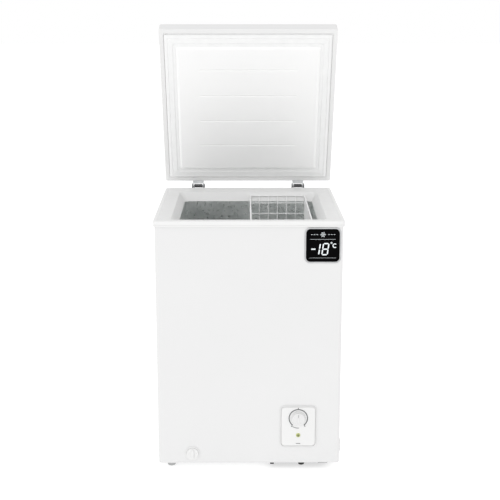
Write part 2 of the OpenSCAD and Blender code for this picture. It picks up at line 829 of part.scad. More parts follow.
module lid_foam() color("khaki") opened() {
    base_z = lid_z0 + band_t + panel_t;
    inset = 2 * (lid_sheet + gap);
    block(lid_w - inset, lid_d - inset, lid_r - lid_sheet - gap, base_z,
        lid_z1 - lid_sheet - gap, 0, lid_y);
    plug_space(panel_t + gap, plateau_z + panel_t + gap, base_z + 0.01);
}

// seal, seated on the inner panel; its face follows the rim's sloping seat
module lid_gasket() color("white") opened() intersection() {
    difference() {
        block(lid_w - 2 * band_w - 1, lid_d - 2 * band_w - 1, 4, rim_h - seat_drop,
            lid_z0 + band_t, 0, lid_y);
        block(plateau_w + 2 * chamfer_w + 2, plateau_d + 2 * chamfer_w + 2, 10,
            rim_h - seat_drop - 1, lid_z0 + band_t + 1);
    }
    union() {
        translate([0, 0, 0.4]) seat_space(lid_z0 + band_t + 1);
        block(rim_w, rim_d, rim_r, rim_h + 0.4, lid_z0 + band_t + 1);
    }
}

// ---------------------------------------------------------------- basket

// flat grid of square bars, w by h from its lower left corner, with n and m gaps
module grid(w, h, n, m) {
    for (i = [0:n]) translate([i * (w - bar) / n, 0]) square([bar, h]);
    for (i = [0:m]) translate([0, i * (h - bar) / m]) square([w, bar]);
}

module basket_rim() color("white")
    tube_loop(basket_w, basket_d, 14, rim_wire, basket_z, (basket_x0 + basket_x1) / 2);

module basket_side(x) {
    sideways(x - bar / 2, x + bar / 2) translate([rim_y - grid_d / 2, grid_z])
        grid(grid_d, grid_top - grid_z, 14, 5);
}

module basket_end(y0) {
    facing(y0, bar, basket_x0 + bar / 2, grid_z) grid(basket_w - bar, grid_top - grid_z, 6, 5);
}

module basket_left() color("white") basket_side(basket_x0);

module basket_right() color("white") basket_side(basket_x1);

module basket_front() color("white") basket_end(rim_y - grid_d / 2);

module basket_back() color("white") basket_end(rim_y + grid_d / 2 - bar);

module basket_floor() color("white")
    translate([basket_x0 + bar / 2, rim_y - grid_d / 2 + bar, grid_z])
        linear_extrude(bar) grid(basket_w - bar, grid_d - 2 * bar, 6, 14);

// ---------------------------------------------------------------- nodes

cabinet_wrap();
back_panel();
bottom_panel();
cabinet_foam();
inner_liner();
top_collar();
base_plate();
compressor_shell();
compressor_legs();
compressor_grommets();
compressor_bolts();
relay_cover();
refrigerant_tubes();
filter_drier();
capillary_tube();
evaporator_coil();
condenser_coil();
thermostat_body();
sensor_tube();
indicator_lamp();
indicator_lens();
control_panel();
dial_scale();
side_vent();
rear_grille();
grille_screws();
cord_gland();
left_feet();
right_feet();
drain_tube();
drain_bezel();
hinge_brackets();
hinge_pins();
hinge_springs();
bracket_screws();
rear_spacers();
display_bezel();
display_face();
display_segments();
lid_shell();
lid_frame();
lid_foam();
lid_panel();
lid_gasket();
hinge_leaves();
leaf_screws();
thermostat_knob();
knob_pointer();
thermostat_shaft();
basket_rim();
basket_front();
basket_back();
basket_left();
basket_right();
basket_floor();
drain_spout();
drain_dial();
drain_plug();
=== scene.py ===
"""The looks of a small chest freezer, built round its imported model.

The frame is in metres, +Z up, front towards -Y. Meshes are drawn in millimetres, and solid()
turns them into metres.
"""

import json
import math

import bmesh
import bpy
from mathutils import Matrix, Vector


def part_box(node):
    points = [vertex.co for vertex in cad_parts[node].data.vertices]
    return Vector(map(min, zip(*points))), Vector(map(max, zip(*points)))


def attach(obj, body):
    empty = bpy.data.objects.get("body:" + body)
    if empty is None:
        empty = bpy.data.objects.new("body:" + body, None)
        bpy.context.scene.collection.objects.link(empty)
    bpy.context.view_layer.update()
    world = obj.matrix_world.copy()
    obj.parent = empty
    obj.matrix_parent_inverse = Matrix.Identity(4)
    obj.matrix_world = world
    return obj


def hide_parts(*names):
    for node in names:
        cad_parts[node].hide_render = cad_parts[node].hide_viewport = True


MM = 0.001

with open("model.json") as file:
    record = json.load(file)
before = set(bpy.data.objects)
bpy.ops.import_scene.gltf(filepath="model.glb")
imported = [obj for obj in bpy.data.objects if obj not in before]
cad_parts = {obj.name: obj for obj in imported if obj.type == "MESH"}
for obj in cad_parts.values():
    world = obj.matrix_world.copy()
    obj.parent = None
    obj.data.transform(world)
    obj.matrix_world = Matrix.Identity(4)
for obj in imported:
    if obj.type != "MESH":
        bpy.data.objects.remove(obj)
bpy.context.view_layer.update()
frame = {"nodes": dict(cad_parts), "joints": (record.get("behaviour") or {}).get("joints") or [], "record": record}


# ---------------------------------------------------------------- places taken from the frame


def box_mm(node):
    """Lowest and highest corner of a CAD node, in millimetres."""
    low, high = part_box(node)
    return low / MM, high / MM


def middle_of(node):
    return sum(box_mm(node), Vector()) / 2


def joint(name):
    return next(j for j in frame["joints"] if j["name"] == name)


RIM_LOW, RIM_HIGH = box_mm("top_collar")
RIM_TOP = RIM_HIGH.z
RIM_SIZE = (RIM_HIGH.x - RIM_LOW.x, RIM_HIGH.y - RIM_LOW.y)
RIM_MIDDLE = (RIM_LOW + RIM_HIGH) / 2
SHELL_LOW, SHELL_HIGH = box_mm("cabinet_wrap")
SHELL_FRONT = SHELL_LOW.y
BACK = box_mm("back_panel")[1].y

PIN = Vector(joint("lid_hinge")["pos_m"]) / MM
OPEN_ANGLE = -math.radians(joint("lid_hinge")["range_deg"][0])
SWING = Matrix.Translation(PIN) @ Matrix.Rotation(-OPEN_ANGLE, 4, "X") @ Matrix.Translation(-PIN)


def closed_box(node):
    """Lowest and highest corner, in millimetres, of a node of the lid as if the lid were closed."""
    back = SWING.inverted()
    points = [back @ (v.co / MM) for v in frame["nodes"][node].data.vertices]
    low = Vector([min(p[i] for p in points) for i in range(3)])
    high = Vector([max(p[i] for p in points) for i in range(3)])
    return low, high


# ---------------------------------------------------------------- mesh tools


def bent(points, radii, closed=True, steps=4):
    """The line through points, with each corner rounded to its radius; 0 leaves it sharp."""
    points = [Vector(p).to_3d() for p in points]
    if isinstance(radii, (int, float)):
        radii = [radii] * len(points)
    line = []
    for i, (p, radius) in enumerate(zip(points, radii)):
        if radius == 0 or (not closed and i in (0, len(points) - 1)):
            line.append(p)
            continue
        to_last, to_next = points[i - 1] - p, points[(i + 1) % len(points)] - p
        half = to_last.angle(to_next) / 2
        reach = min(radius / math.tan(half), 0.48 * to_last.length, 0.48 * to_next.length)
        to_last.normalize()
        to_next.normalize()
        centre = p + (to_last + to_next).normalized() * (reach / math.cos(half))
        start, end = p + to_last * reach - centre, p + to_next * reach - centre
        turn = math.pi - 2 * half
        for k in range(steps + 1):
            share = k / steps
            line.append(centre + (start * math.sin((1 - share) * turn)
                                  + end * math.sin(share * turn)) / math.sin(turn))
    return line


def rounded(corners, **options):
    """bent() for corners given as (x, y, radius)."""
    return bent([c[:2] for c in corners], [c[2] for c in corners], **options)


def outline(width, depth, corner, steps=8):
    """Points round a rectangle with round corners, about the origin."""
    points = []
    for turn, (sx, sy) in enumerate([(1, 1), (-1, 1), (-1, -1), (1, -1)]):
        for k in range(steps + 1):
            angle = math.radians(90 * (turn + k / steps))
            points.append(Vector((sx * (width / 2 - corner) + corner * math.cos(angle),
                                  sy * (depth / 2 - corner) + corner * math.sin(angle), 0)))
    return points


def circle(radius, steps=48):
    turns = [2 * math.pi * k / steps for k in range(steps)]
    return [Vector((radius * math.cos(a), radius * math.sin(a), 0)) for a in turns]


def skin(bm, loops, ring=False, around=True, matrix=None):
    """Faces between neighbouring loops. A ring joins the last loop to the first, and otherwise the
    first and last loops are filled. around is False for open lines, whose ends are filled instead."""
    matrix = matrix or Matrix.Identity(4)
    rows = [[bm.verts.new(matrix @ p) for p in loop] for loop in loops]
    pairs = list(zip(rows, rows[1:])) + ([(rows[-1], rows[0])] if ring else [])
    for a, b in pairs:
        count = len(a) if around else len(a) - 1
        for i in range(count):
            j = (i + 1) % len(a)
            bm.faces.new((a[i], a[j], b[j], b[i]))
    if not around:
        bm.faces.new([r[0] for r in rows])
        bm.faces.new([r[-1] for r in reversed(rows)])
    elif not ring:
        bm.faces.new(list(reversed(rows[0])))
        bm.faces.new(rows[-1])


def lifted(loop, x=0, y=0, z=0):
    return [p + Vector((x, y, z)) for p in loop]


def moulding(bm, size, middle, profile, corner, ring=True, matrix=None):
    """A rectangular moulding. The profile's points are (inset from the outside, height), and corner
    gives the corner radius at an inset."""
    loops = []
    for p in profile:
        plan = outline(size[0] - 2 * p[0], size[1] - 2 * p[0], max(corner(p[0]), 0.05))
        loops.append(lifted(plan, middle[0], middle[1], p[1]))
    skin(bm, loops, ring=ring, matrix=matrix)


def turned(bm, profile, matrix=None, ring=False, steps=48):
    """A turned piece: the profile's points are (radius, height along the axis)."""
    loops = [lifted(circle(max(p[0], 0.02), steps), z=p[1]) for p in profile]
    skin(bm, loops, ring=ring, matrix=matrix)


def cuboid(bm, low, high, matrix=None):
    low, high = Vector(low), Vector(high)
    spot = Matrix.Translation((low + high) / 2) @ Matrix.Diagonal((*(high - low), 1))
    bmesh.ops.create_cube(bm, size=1, matrix=(matrix or Matrix.Identity(4)) @ spot)


def facing(x, y, z):
    """Puts a shape drawn flat onto the front: its up becomes -Y, and its Y becomes Z."""
    return Matrix.Translation((x, y, z)) @ Matrix.Rotation(math.pi / 2, 4, "X")


def facing_back(x, y, z):
    """The same for the back: up becomes +Y, and its Y becomes -Z."""
    return Matrix.Translation((x, y, z)) @ Matrix.Rotation(-math.pi / 2, 4, "X")


def linked(name, data):
    """A new object in the scene that holds data."""
    piece = bpy.data.objects.new(name, data)
    bpy.context.scene.collection.objects.link(piece)
    return piece


def mesh_object(name, bm):
    mesh = bpy.data.meshes.new(name)
    bm.to_mesh(mesh)
    bm.free()
    return linked(name, mesh)


def solid(name, bm, matrix=None):
    """A mesh object in metres from a closed shape in millimetres."""
    bmesh.ops.recalc_face_normals(bm, faces=bm.faces)
    bm.transform(Matrix.Scale(MM, 4) @ (matrix or Matrix.Identity(4)))
    return mesh_object(name, bm)


def apply_modifiers(piece):
    bpy.context.view_layer.update()
    evaluated = piece.evaluated_get(bpy.context.evaluated_depsgraph_get())
    mesh = bpy.data.meshes.new_from_object(evaluated)
    piece.modifiers.clear()
    piece.data = mesh


def carve(piece, cutter_bm, matrix=None, operation="DIFFERENCE"):
    """Cuts the cutter's shape, in millimetres, out of a piece, or with UNION adds it."""
    cutter = solid("cutter", cutter_bm, matrix)
    cut = piece.modifiers.new("cut", "BOOLEAN")
    cut.operation = operation
    cut.solver = "EXACT"
    cut.object = cutter
    apply_modifiers(piece)
    bpy.data.objects.remove(cutter)


def copy_of(node):
    """A copy of a CAD node as clean faces, ready for rounding."""
    bm = bmesh.new()
    bm.from_mesh(frame["nodes"][node].data)
    bmesh.ops.remove_doubles(bm, verts=bm.verts, dist=2e-6)
    bmesh.ops.dissolve_limit(bm, angle_limit=math.radians(1), verts=bm.verts, edges=bm.edges)
    return mesh_object(node + "_shape", bm)


def soften(piece, width, segments):
    """Rounds a piece's edges of more than 35 degrees."""
    bevel = piece.modifiers.new("soften", "BEVEL")
    bevel.width = width * MM
    bevel.segments = segments
    bevel.limit_method = "ANGLE"
    bevel.angle_limit = math.radians(35)
    bevel.use_clamp_overlap = True
    apply_modifiers(piece)


def place(piece, body, slot, nodes=(), sharp=38):
    """Last step for every piece: smooth shading, the material of its slot, its body, and hiding the nodes it
    replaces.
    """
    if piece.type == "MESH":
        piece.data.shade_smooth()
        piece.data.set_sharp_from_angle(angle=math.radians(sharp))
        weight = piece.modifiers.new("normals", "WEIGHTED_NORMAL")
        weight.keep_sharp = True
        weight.weight = 60
    piece.data.materials.clear()
    piece.data.materials.append(MATERIALS[slot])
    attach(piece, body)
    if nodes:
        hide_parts(*nodes)
    return piece


def wire(name, lines, radius, resolution=6):
    """Round wires through lists of points in millimetres; each entry is (points, closed)."""
    curve = bpy.data.curves.new(name, "CURVE")
    curve.dimensions = "3D"
    curve.bevel_depth = radius * MM
    curve.bevel_resolution = resolution
    curve.use_fill_caps = True
    for points, closed in lines:
        spline = curve.splines.new("POLY")
        spline.points.add(len(points) - 1)
        for target, p in zip(spline.points, points):
            target.co = (*(Vector(p) * MM), 1)
        spline.use_cyclic_u = closed
        spline.use_smooth = True
    return linked(name, curve)


# ---------------------------------------------------------------- materials


def principled(name, colour, roughness, metallic=0.0, **sockets):
    material = bpy.data.materials.new(name)
    material.use_nodes = True
    shader = material.node_tree.nodes["Principled BSDF"]
    shader.inputs["Base Color"].default_value = (*colour, 1)
    shader.inputs["Roughness"].default_value = roughness
    shader.inputs["Metallic"].default_value = metallic
    for socket, value in sockets.items():
        shader.inputs[socket.replace("_", " ")].default_value = value
    return material


def texture(material, kind, scale, stretch=(1, 1, 1), **sockets):
    """A texture node in object space; scale, where the kind has one, is in features per metre."""
    tree = material.node_tree
    coordinates = tree.nodes.new("ShaderNodeTexCoord")
    mapping = tree.nodes.new("ShaderNodeMapping")
    mapping.inputs["Scale"].default_value = stretch
    made = tree.nodes.new("ShaderNodeTex" + kind)
    if scale:
        made.inputs["Scale"].default_value = scale
    for socket, value in sockets.items():
        made.inputs[socket].default_value = value
    tree.links.new(coordinates.outputs["Object"], mapping.inputs["Vector"])
    tree.links.new(mapping.outputs["Vector"], made.inputs["Vector"])
    return made


def value_of(made):
    """The single-number output of a texture node."""
    return made.outputs["Distance"] if "Distance" in made.outputs else made.outputs[0]


def vary_roughness(material, made, low, high):
    tree = material.node_tree
    span = tree.nodes.new("ShaderNodeMapRange")
    span.inputs["From Min"].default_value = 0.3
    span.inputs["From Max"].default_value = 0.7
    span.inputs["To Min"].default_value = low
    span.inputs["To Max"].default_value = high
    tree.links.new(value_of(made), span.inputs["Value"])
    tree.links.new(span.outputs["Result"], tree.nodes["Principled BSDF"].inputs["Roughness"])


def vary_colour(material, made, dark, light, span=(0.3, 0.7)):
    tree = material.node_tree
    ramp = tree.nodes.new("ShaderNodeValToRGB")
    ramp.color_ramp.elements[0].position = span[0]
    ramp.color_ramp.elements[0].color = (*dark, 1)
    ramp.color_ramp.elements[1].position = span[1]
    ramp.color_ramp.elements[1].color = (*light, 1)
    tree.links.new(value_of(made), ramp.inputs["Fac"])
    tree.links.new(ramp.outputs["Color"], tree.nodes["Principled BSDF"].inputs["Base Color"])


def relief(material, made, height):
    """Gives the material a bump, its height in metres."""
    tree = material.node_tree
    bump = tree.nodes.new("ShaderNodeBump")
    bump.inputs["Distance"].default_value = height
    bump.inputs["Strength"].default_value = 1.0
    tree.links.new(value_of(made), bump.inputs["Height"])
    tree.links.new(bump.outputs["Normal"], tree.nodes["Principled BSDF"].inputs["Normal"])


def enamel(name, dark, light, roughness, peel=0.00002):
    """Sprayed and baked paint on sheet steel, with a faint orange peel."""
    material = principled(name, light, roughness, Coat_Weight=0.25, Coat_Roughness=0.12)
    vary_colour(material, texture(material, "Noise", 1.6, Detail=3), dark, light)
    patches = texture(material, "Noise", 9, Detail=4)
    vary_roughness(material, patches, roughness - 0.04, roughness + 0.05)
    relief(material, texture(material, "Noise", 420, Detail=1), peel)
    return material


def moulded(name, dark, light, roughness, grain=0.00003, scale=900, **sockets):
    """Injection-moulded plastic with a fine spark-eroded grain."""
    material = principled(name, light, roughness, **sockets)
    vary_colour(material, texture(material, "Noise", 6, Detail=3), dark, light)
    patches = texture(material, "Noise", 35, Detail=5)
    vary_roughness(material, patches, roughness - 0.05, roughness + 0.06)
    relief(material, texture(material, "Voronoi", scale), grain)
    return material


def rubber(name, dark, light, roughness):
    material = principled(name, light, roughness, Specular_IOR_Level=0.35)
    vary_colour(material, texture(material, "Noise", 40, Detail=5), dark, light)
    relief(material, texture(material, "Noise", 1500, Detail=3), 0.00004)
    return material


def plated(name, dark, light, roughness, metallic=1.0):
    """Rolled or plated metal: fine drawn lines under a blotchy finish."""
    material = principled(name, light, roughness, metallic)
    vary_colour(material, texture(material, "Noise", 55, Detail=6), dark, light)
    patches = texture(material, "Noise", 130, Detail=4)
    vary_roughness(material, patches, roughness - 0.08, roughness + 0.12)
    relief(material, texture(material, "Noise", 500, stretch=(1, 1, 14), Detail=2), 0.000012)
    return material


def stucco_aluminium(name):
    """Liner sheet embossed with small irregular pebbles, slightly blotchy between them."""
    material = principled(name, (0.66, 0.68, 0.67), 0.30, 1.0)
    blotches = texture(material, "Noise", 26, Detail=7, Roughness=0.62)
    vary_colour(material, blotches, (0.74, 0.77, 0.76), (0.93, 0.95, 0.94), (0.32, 0.68))
    vary_roughness(material, texture(material, "Noise", 90, Detail=5), 0.24, 0.38)
    relief(material, texture(material, "Noise", 210, Detail=0), 0.00016)
    return material


def foam_skin(name):
    material = principled(name, (0.78, 0.70, 0.47), 0.75, Subsurface_Weight=0.05)
    blotches = texture(material, "Noise", 18, Detail=6)
    vary_colour(material, blotches, (0.66, 0.56, 0.33), (0.82, 0.74, 0.52))
    relief(material, texture(material, "Voronoi", 420), 0.0006)
    return material


def lens(name):
    """Frosted green lens, its colour painted darker in the middle than at its rim: painted shade over the lamp
    behind it.
    """
    material = principled(name, (0.30, 0.33, 0.11), 0.16, IOR=1.49)
    low, high = box_mm("indicator_lens")
    painted_shade = texture(material, "Gradient", 0)
    painted_shade.gradient_type = "SPHERICAL"
    spread = painted_shade.inputs["Vector"].links[0].from_node
    middle, radius = (low + high) / 2, (high.x - low.x) / 2
    spread.inputs["Location"].default_value = (-middle.x / radius, 0, -middle.z / radius)
    spread.inputs["Scale"].default_value = (1 / (MM * radius), 0, 1 / (MM * radius))
    # painted shade: light green at the lens's rim, falling to dark green in its middle
    vary_colour(material, painted_shade, (0.66, 0.70, 0.30), (0.19, 0.22, 0.09), (0.05, 0.55))
    relief(material, texture(material, "Voronoi", 700), 0.0003)
    return material


def ink(name, dark, light):
    """Print or lit figures: an even colour with hardly any grain."""
    material = principled(name, light, 0.55)
    vary_colour(material, texture(material, "Noise", 900, Detail=3), dark, light)
    relief(material, texture(material, "Noise", 2500, Detail=2), 0.00001)
    return material


MATERIALS = {
    "cabinet_paint": enamel("cabinet_paint", (0.71, 0.71, 0.71), (0.73, 0.73, 0.73), 0.36),
    "back_paint": enamel("back_paint", (0.66, 0.67, 0.67), (0.70, 0.71, 0.71), 0.45),
    "zinc_sheet": plated("zinc_sheet", (0.40, 0.41, 0.42), (0.62, 0.63, 0.64), 0.34),
    "foam": foam_skin("foam"),
    "liner_metal": stucco_aluminium("liner_metal"),
    "white_plastic": moulded("white_plastic", (0.75, 0.75, 0.747), (0.77, 0.77, 0.767), 0.36),
    "lid_inner_plastic": moulded("lid_inner_plastic", (0.86, 0.86, 0.857), (0.875, 0.875, 0.872),
                                 0.52, scale=600),
    "knob_plastic": moulded("knob_plastic", (0.71, 0.71, 0.708), (0.73, 0.73, 0.728), 0.33),
    "white_rubber": rubber("white_rubber", (0.80, 0.802, 0.80), (0.83, 0.832, 0.83), 0.55),
    "black_paint": enamel("black_paint", (0.018, 0.018, 0.02), (0.035, 0.035, 0.038), 0.40,
                          0.00004),
    "black_rubber": rubber("black_rubber", (0.035, 0.035, 0.035), (0.06, 0.06, 0.06), 0.72),
    "grey_rubber": rubber("grey_rubber", (0.36, 0.365, 0.365), (0.46, 0.465, 0.465), 0.62),
    "black_plastic": moulded("black_plastic", (0.02, 0.02, 0.02), (0.04, 0.04, 0.04), 0.5),
    "ivory_plastic": moulded("ivory_plastic", (0.70, 0.65, 0.50), (0.78, 0.73, 0.60), 0.48),
    "copper_tube": plated("copper_tube", (0.48, 0.24, 0.14), (0.78, 0.44, 0.30), 0.30),
    "coil_tube": plated("coil_tube", (0.50, 0.50, 0.50), (0.70, 0.70, 0.70), 0.38),
    "green_lens": lens("green_lens"),
    "grey_print": ink("grey_print", (0.09, 0.095, 0.10), (0.15, 0.155, 0.16)),
    "dark_steel": plated("dark_steel", (0.07, 0.072, 0.075), (0.19, 0.195, 0.20), 0.42, 0.85),
    "spring_steel": plated("spring_steel", (0.11, 0.11, 0.115), (0.22, 0.22, 0.225), 0.30),
    "display_rim": plated("display_rim", (0.44, 0.445, 0.45), (0.54, 0.545, 0.55), 0.40, 0.4),
    "display_black": moulded("display_black", (0.0012, 0.0012, 0.0014), (0.0025, 0.0025, 0.0028),
                             0.16, grain=0.000004, Specular_IOR_Level=0.02),
    "display_white": ink("display_white", (0.80, 0.85, 0.87), (0.90, 0.95, 0.97)),
    "coated_wire": moulded("coated_wire", (0.80, 0.80, 0.80), (0.86, 0.86, 0.86), 0.34, scale=1500),
}

for part in frame["record"]["subparts"]:
    cad_mesh = frame["nodes"][part["node"]].data
    cad_mesh.materials.clear()
    cad_mesh.materials.append(MATERIALS[part["material_slot"]])


# ---------------------------------------------------------------- camera, light and floor


def make_camera():
    camera = linked("camera", bpy.data.cameras.new("camera"))
    camera.data.sensor_width = 36
    camera.data.lens = 75
    camera.data.shift_y = -0.04
    camera.data.clip_end = 100
    camera.location = (-0.017, -3.32, 1.44)
    camera.rotation_euler = (math.radians(90 - 12.57), 0, math.radians(-0.38))
    bpy.context.scene.camera = camera


def make_light(name, location, size, power):
    """A square white lamp aimed at the middle of the freezer."""
    light = bpy.data.lights.new(name, "AREA")
    light.size = size
    light.energy = power
    lamp = linked(name, light)
    lamp.location = location
    aim = Vector((0, 0, 0.8)) - Vector(location)
    lamp.rotation_euler = aim.to_track_quat("-Z", "Y").to_euler()


def make_studio():
    world = bpy.data.worlds.new("studio")
    world.use_nodes = True
    sky = world.node_tree.nodes["Background"]
    sky.inputs["Color"].default_value = (1, 1, 1, 1)
    sky.inputs["Strength"].default_value = 1.0
    bpy.context.scene.world = world
    bpy.context.scene.view_settings.view_transform = "Standard"
    make_light("front", (-2.2, -6.6, 3.6), 3.0, 62)
    make_light("left", (-4.4, -2.6, 2.2), 2.4, 8)

    bm = bmesh.new()
    bmesh.ops.create_grid(bm, x_segments=2, y_segments=2, size=30 / MM)  # 30 m each way
    floor = solid("floor", bm)
    pale = principled("floor", (0.56, 0.56, 0.56), 0.85, Specular_IOR_Level=0.1,
                      Emission_Color=(1, 1, 1, 1), Emission_Strength=0.60)
    vary_roughness(pale, texture(pale, "Noise", 3, Detail=3), 0.8, 0.9)
    floor.data.materials.append(pale)


make_camera()
make_studio()


# ---------------------------------------------------------------- cabinet

RIM_CORNERS = ((0, 12), (12, 6), (51, 14), (69, 20))  # inset from the rim's outside, corner radius


def rim_corner(inset):
    """The collar's corner radius at an inset from its outside."""
    for (a, ra), (b, rb) in zip(RIM_CORNERS, RIM_CORNERS[1:]):
        if inset <= b:
            return ra + (rb - ra) * (inset - a) / (b - a)
    return RIM_CORNERS[-1][1]


def top_collar():
    """Plastic rim: front lip with its groove, level bead, sloping seat and the funnel to the liner."""
    profile = rounded([(0, -18, 0.8), (0, -13.7, 0.3), (1.0, -13.3, 0.3), (1.0, -12.5, 0.3),
                       (0, -12.1, 0.3), (0, 0, 3.2), (11, 0, 1.2), (12.6, -1.0, 1.2), (51, -6, 4.5),
                       (69, -35.6, 0.8), (66.2, -36, 0), (50.4, -10, 0), (3.8, -10, 0.5),
                       (3.8, -18, 0.8)])
    bm = bmesh.new()
    moulding(bm, RIM_SIZE, RIM_MIDDLE, [(p.x, p.y + RIM_TOP) for p in profile], rim_corner)
    piece = solid("collar", bm)
    cutter = bmesh.new()  # the skirt stops short of the back panel
    cuboid(cutter, (SHELL_LOW.x - 0.2, BACK - 30, RIM_TOP - 20),
           (SHELL_HIGH.x + 0.2, BACK + 5, RIM_TOP - 10))
    carve(piece, cutter)
    place(piece, "cabinet", "white_plastic", ["top_collar"])


def wrap_path(inset, z):
    """The folded sheet's plan: up one side, round the two front corners and down the other."""
    x, front, corner = SHELL_HIGH.x - inset, SHELL_FRONT + inset, max(10 - inset, 0.4)
    points = [(x, SHELL_HIGH.y, z), (x, front, z), (-x, front, z), (-x, SHELL_HIGH.y, z)]
    return bent(points, corner, closed=False, steps=8)


def cabinet_wrap():
    """Folded sheet with its lower edge turned in, and openings for panel, vent and drain."""
    bottom, top = SHELL_LOW.z, SHELL_HIGH.z
    profile = rounded([(0, top, 0), (0, bottom, 2.2), (45, bottom, 0.3), (45, bottom + 1, 0.3),
                       (1, bottom + 1, 1.2), (1, top, 0)])
    bm = bmesh.new()
    skin(bm, [wrap_path(p.x, p.y) for p in profile], ring=True, around=False)
    piece = solid("cabinet_sheet", bm)

    cutter = bmesh.new()
    low, high = box_mm("control_panel")
    cuboid(cutter, (low.x + 4.5, SHELL_FRONT - 1, low.z + 4.5),
           (high.x - 4.5, SHELL_FRONT + 3, high.z - 4.5))
    low, high = box_mm("side_vent")
    cuboid(cutter, (SHELL_HIGH.x - 4, low.y + 8, low.z + 7),
           (SHELL_HIGH.x + 1, high.y - 8, high.z - 7))
    drain_at = middle_of("drain_bezel")
    turned(cutter, [(11.6, -2), (11.6, 3)], facing(drain_at.x, SHELL_FRONT, drain_at.z))
    carve(piece, cutter)
    place(piece, "cabinet", "cabinet_paint", ["cabinet_wrap"])


LINER_LOW, LINER_HIGH = box_mm("inner_liner")
LINER_FLANGE = 8
LINER_SHEET = 0.9
TUB_LOW = LINER_LOW + Vector((LINER_FLANGE, LINER_FLANGE, 1))
TUB_HIGH = LINER_HIGH - Vector((LINER_FLANGE, LINER_FLANGE, 0))
STEP_X, STEP_Z = 40, 315  # the step over the compressor starts here, and is this high


def inner_liner():
    """The embossed tub with its step, rounded in every corner."""
    left, front, floor = TUB_LOW
    right, back, top = TUB_HIGH
    bm = bmesh.new()
    side = [(left, top), (left, floor), (STEP_X, floor), (STEP_X, STEP_Z), (right, STEP_Z),
            (right, top)]
    rows = [[bm.verts.new((x, y, z)) for x, z in side] for y in (front, back)]
    for i in range(len(side) - 1):
        bm.faces.new((rows[0][i], rows[0][i + 1], rows[1][i + 1], rows[1][i]))
    for row in rows:
        bm.faces.new(row)
    bmesh.ops.recalc_face_normals(bm, faces=bm.faces)
    upright = [e for e in bm.edges if len(e.link_faces) == 2
               and abs(e.verts[0].co.z - e.verts[1].co.z) > 1 and e.verts[0].co.y == e.verts[1].co.y
               and abs(e.verts[0].co.x - STEP_X) > 1]
    bmesh.ops.bevel(bm, geom=upright, offset=20, segments=8, affect="EDGES", profile=0.5)
    bmesh.ops.remove_doubles(bm, verts=bm.verts, dist=0.001)
    creased = [e for e in bm.edges
               if len(e.link_faces) == 2 and e.calc_face_angle(0) > math.radians(40)]
    bmesh.ops.bevel(bm, geom=creased, offset=5, segments=4, affect="EDGES", profile=0.5)
    bmesh.ops.recalc_face_normals(bm, faces=bm.faces)
    in_front = [f for f in bm.faces if f.calc_center_median().y < front + 1]
    if sum((f.normal * f.calc_area()).y for f in in_front) < 0:  # the faces look into the tub
        bmesh.ops.reverse_faces(bm, faces=bm.faces)

    lip = [e for e in bm.edges if e.is_boundary]
    flange = bmesh.ops.extrude_edge_only(bm, edges=lip)["geom"]
    middle, half = (TUB_LOW + TUB_HIGH) / 2, (TUB_HIGH - TUB_LOW) / 2
    for v in flange:
        if isinstance(v, bmesh.types.BMVert):
            v.co.x += (v.co.x - middle.x) * (LINER_FLANGE - 1) / half.x
            v.co.y += (v.co.y - middle.y) * (LINER_FLANGE - 1) / half.y
    bm.transform(Matrix.Scale(MM, 4))
    piece = mesh_object("liner", bm)
    sheet = piece.modifiers.new("sheet", "SOLIDIFY")
    sheet.thickness = LINER_SHEET * MM
    sheet.offset = -1
    apply_modifiers(piece)
    plug = middle_of("drain_plug")
    cutter = bmesh.new()
    turned(cutter, [(7, floor - 5), (7, floor + 3)], Matrix.Translation((plug.x, plug.y, 0)))
    carve(piece, cutter)
    place(piece, "cabinet", "liner_metal", ["inner_liner"])


def cabinet_foam():
    """The foam, cut back to the tub's tight upright corners beside the step."""
    piece = copy_of("cabinet_foam")
    reach, sheet = 22, LINER_SHEET + 0.05
    cutter = bmesh.new()
    for y0, y1 in ((TUB_LOW.y - sheet, TUB_LOW.y + reach), (TUB_HIGH.y - reach, TUB_HIGH.y + sheet)):
        cuboid(cutter, (STEP_X - reach, y0, LINER_LOW.z), (STEP_X + sheet, y1, STEP_Z - sheet))
    carve(piece, cutter)
    place(piece, "cabinet", "foam", ["cabinet_foam"])


def softened(node, body, slot, width, segments=2):
    """The CAD node with its sharp edges rounded."""
    piece = copy_of(node)
    soften(piece, width, segments)
    place(piece, body, slot, [node])


def foot_pair(node, name, slot, corners):
    """A front and a back foot, turned from a profile of (radius, height, rounding)."""
    low, high = box_mm(node)
    radius = (high.x - low.x) / 2
    for end, y in (("front", low.y + radius), ("back", high.y - radius)):
        bm = bmesh.new()
        turned(bm, rounded(corners), Matrix.Translation((low.x + radius, y, 0)), ring=True)
        place(solid(f"{name}_{end}", bm), "cabinet", slot, [node])


def feet():
    tall = box_mm("left_feet")[1].z
    foot_pair("left_feet", "left_foot", "grey_rubber",
              [(4, 0, 0), (12, 0, 2), (15.4, tall - 2.5, 0.6), (16, tall - 2, 0.5), (16, tall, 0.3),
               (4, tall, 0)])
    tall = box_mm("right_feet")[1].z
    foot_pair("right_feet", "right_foot", "black_rubber",
              [(3, 0, 0), (9, 0, 1.8), (13, tall - 3, 1.2), (20.6, tall - 3, 0.8), (21, tall, 0.3),
               (3, tall, 0)])


def rear_spacers():
    """Two hollow buffers that keep the back off the wall."""
    low, high = box_mm("rear_spacers")
    radius = 14
    profile = rounded([(2.5, 0, 0), (radius, 0, 0.3), (radius, 3, 0.8), (9.6, 3, 1.2), (8.4, 26, 1.8),
                       (5, 26, 0.8), (4, 18, 0.5), (2.5, 18, 0)])
    for i, x in enumerate((low.x + radius, high.x - radius)):
        bm = bmesh.new()
        turned(bm, profile, facing_back(x, low.y, (low.z + high.z) / 2), ring=True)
        place(solid(f"rear_spacer_{i + 1}", bm), "cabinet", "black_plastic", ["rear_spacers"])


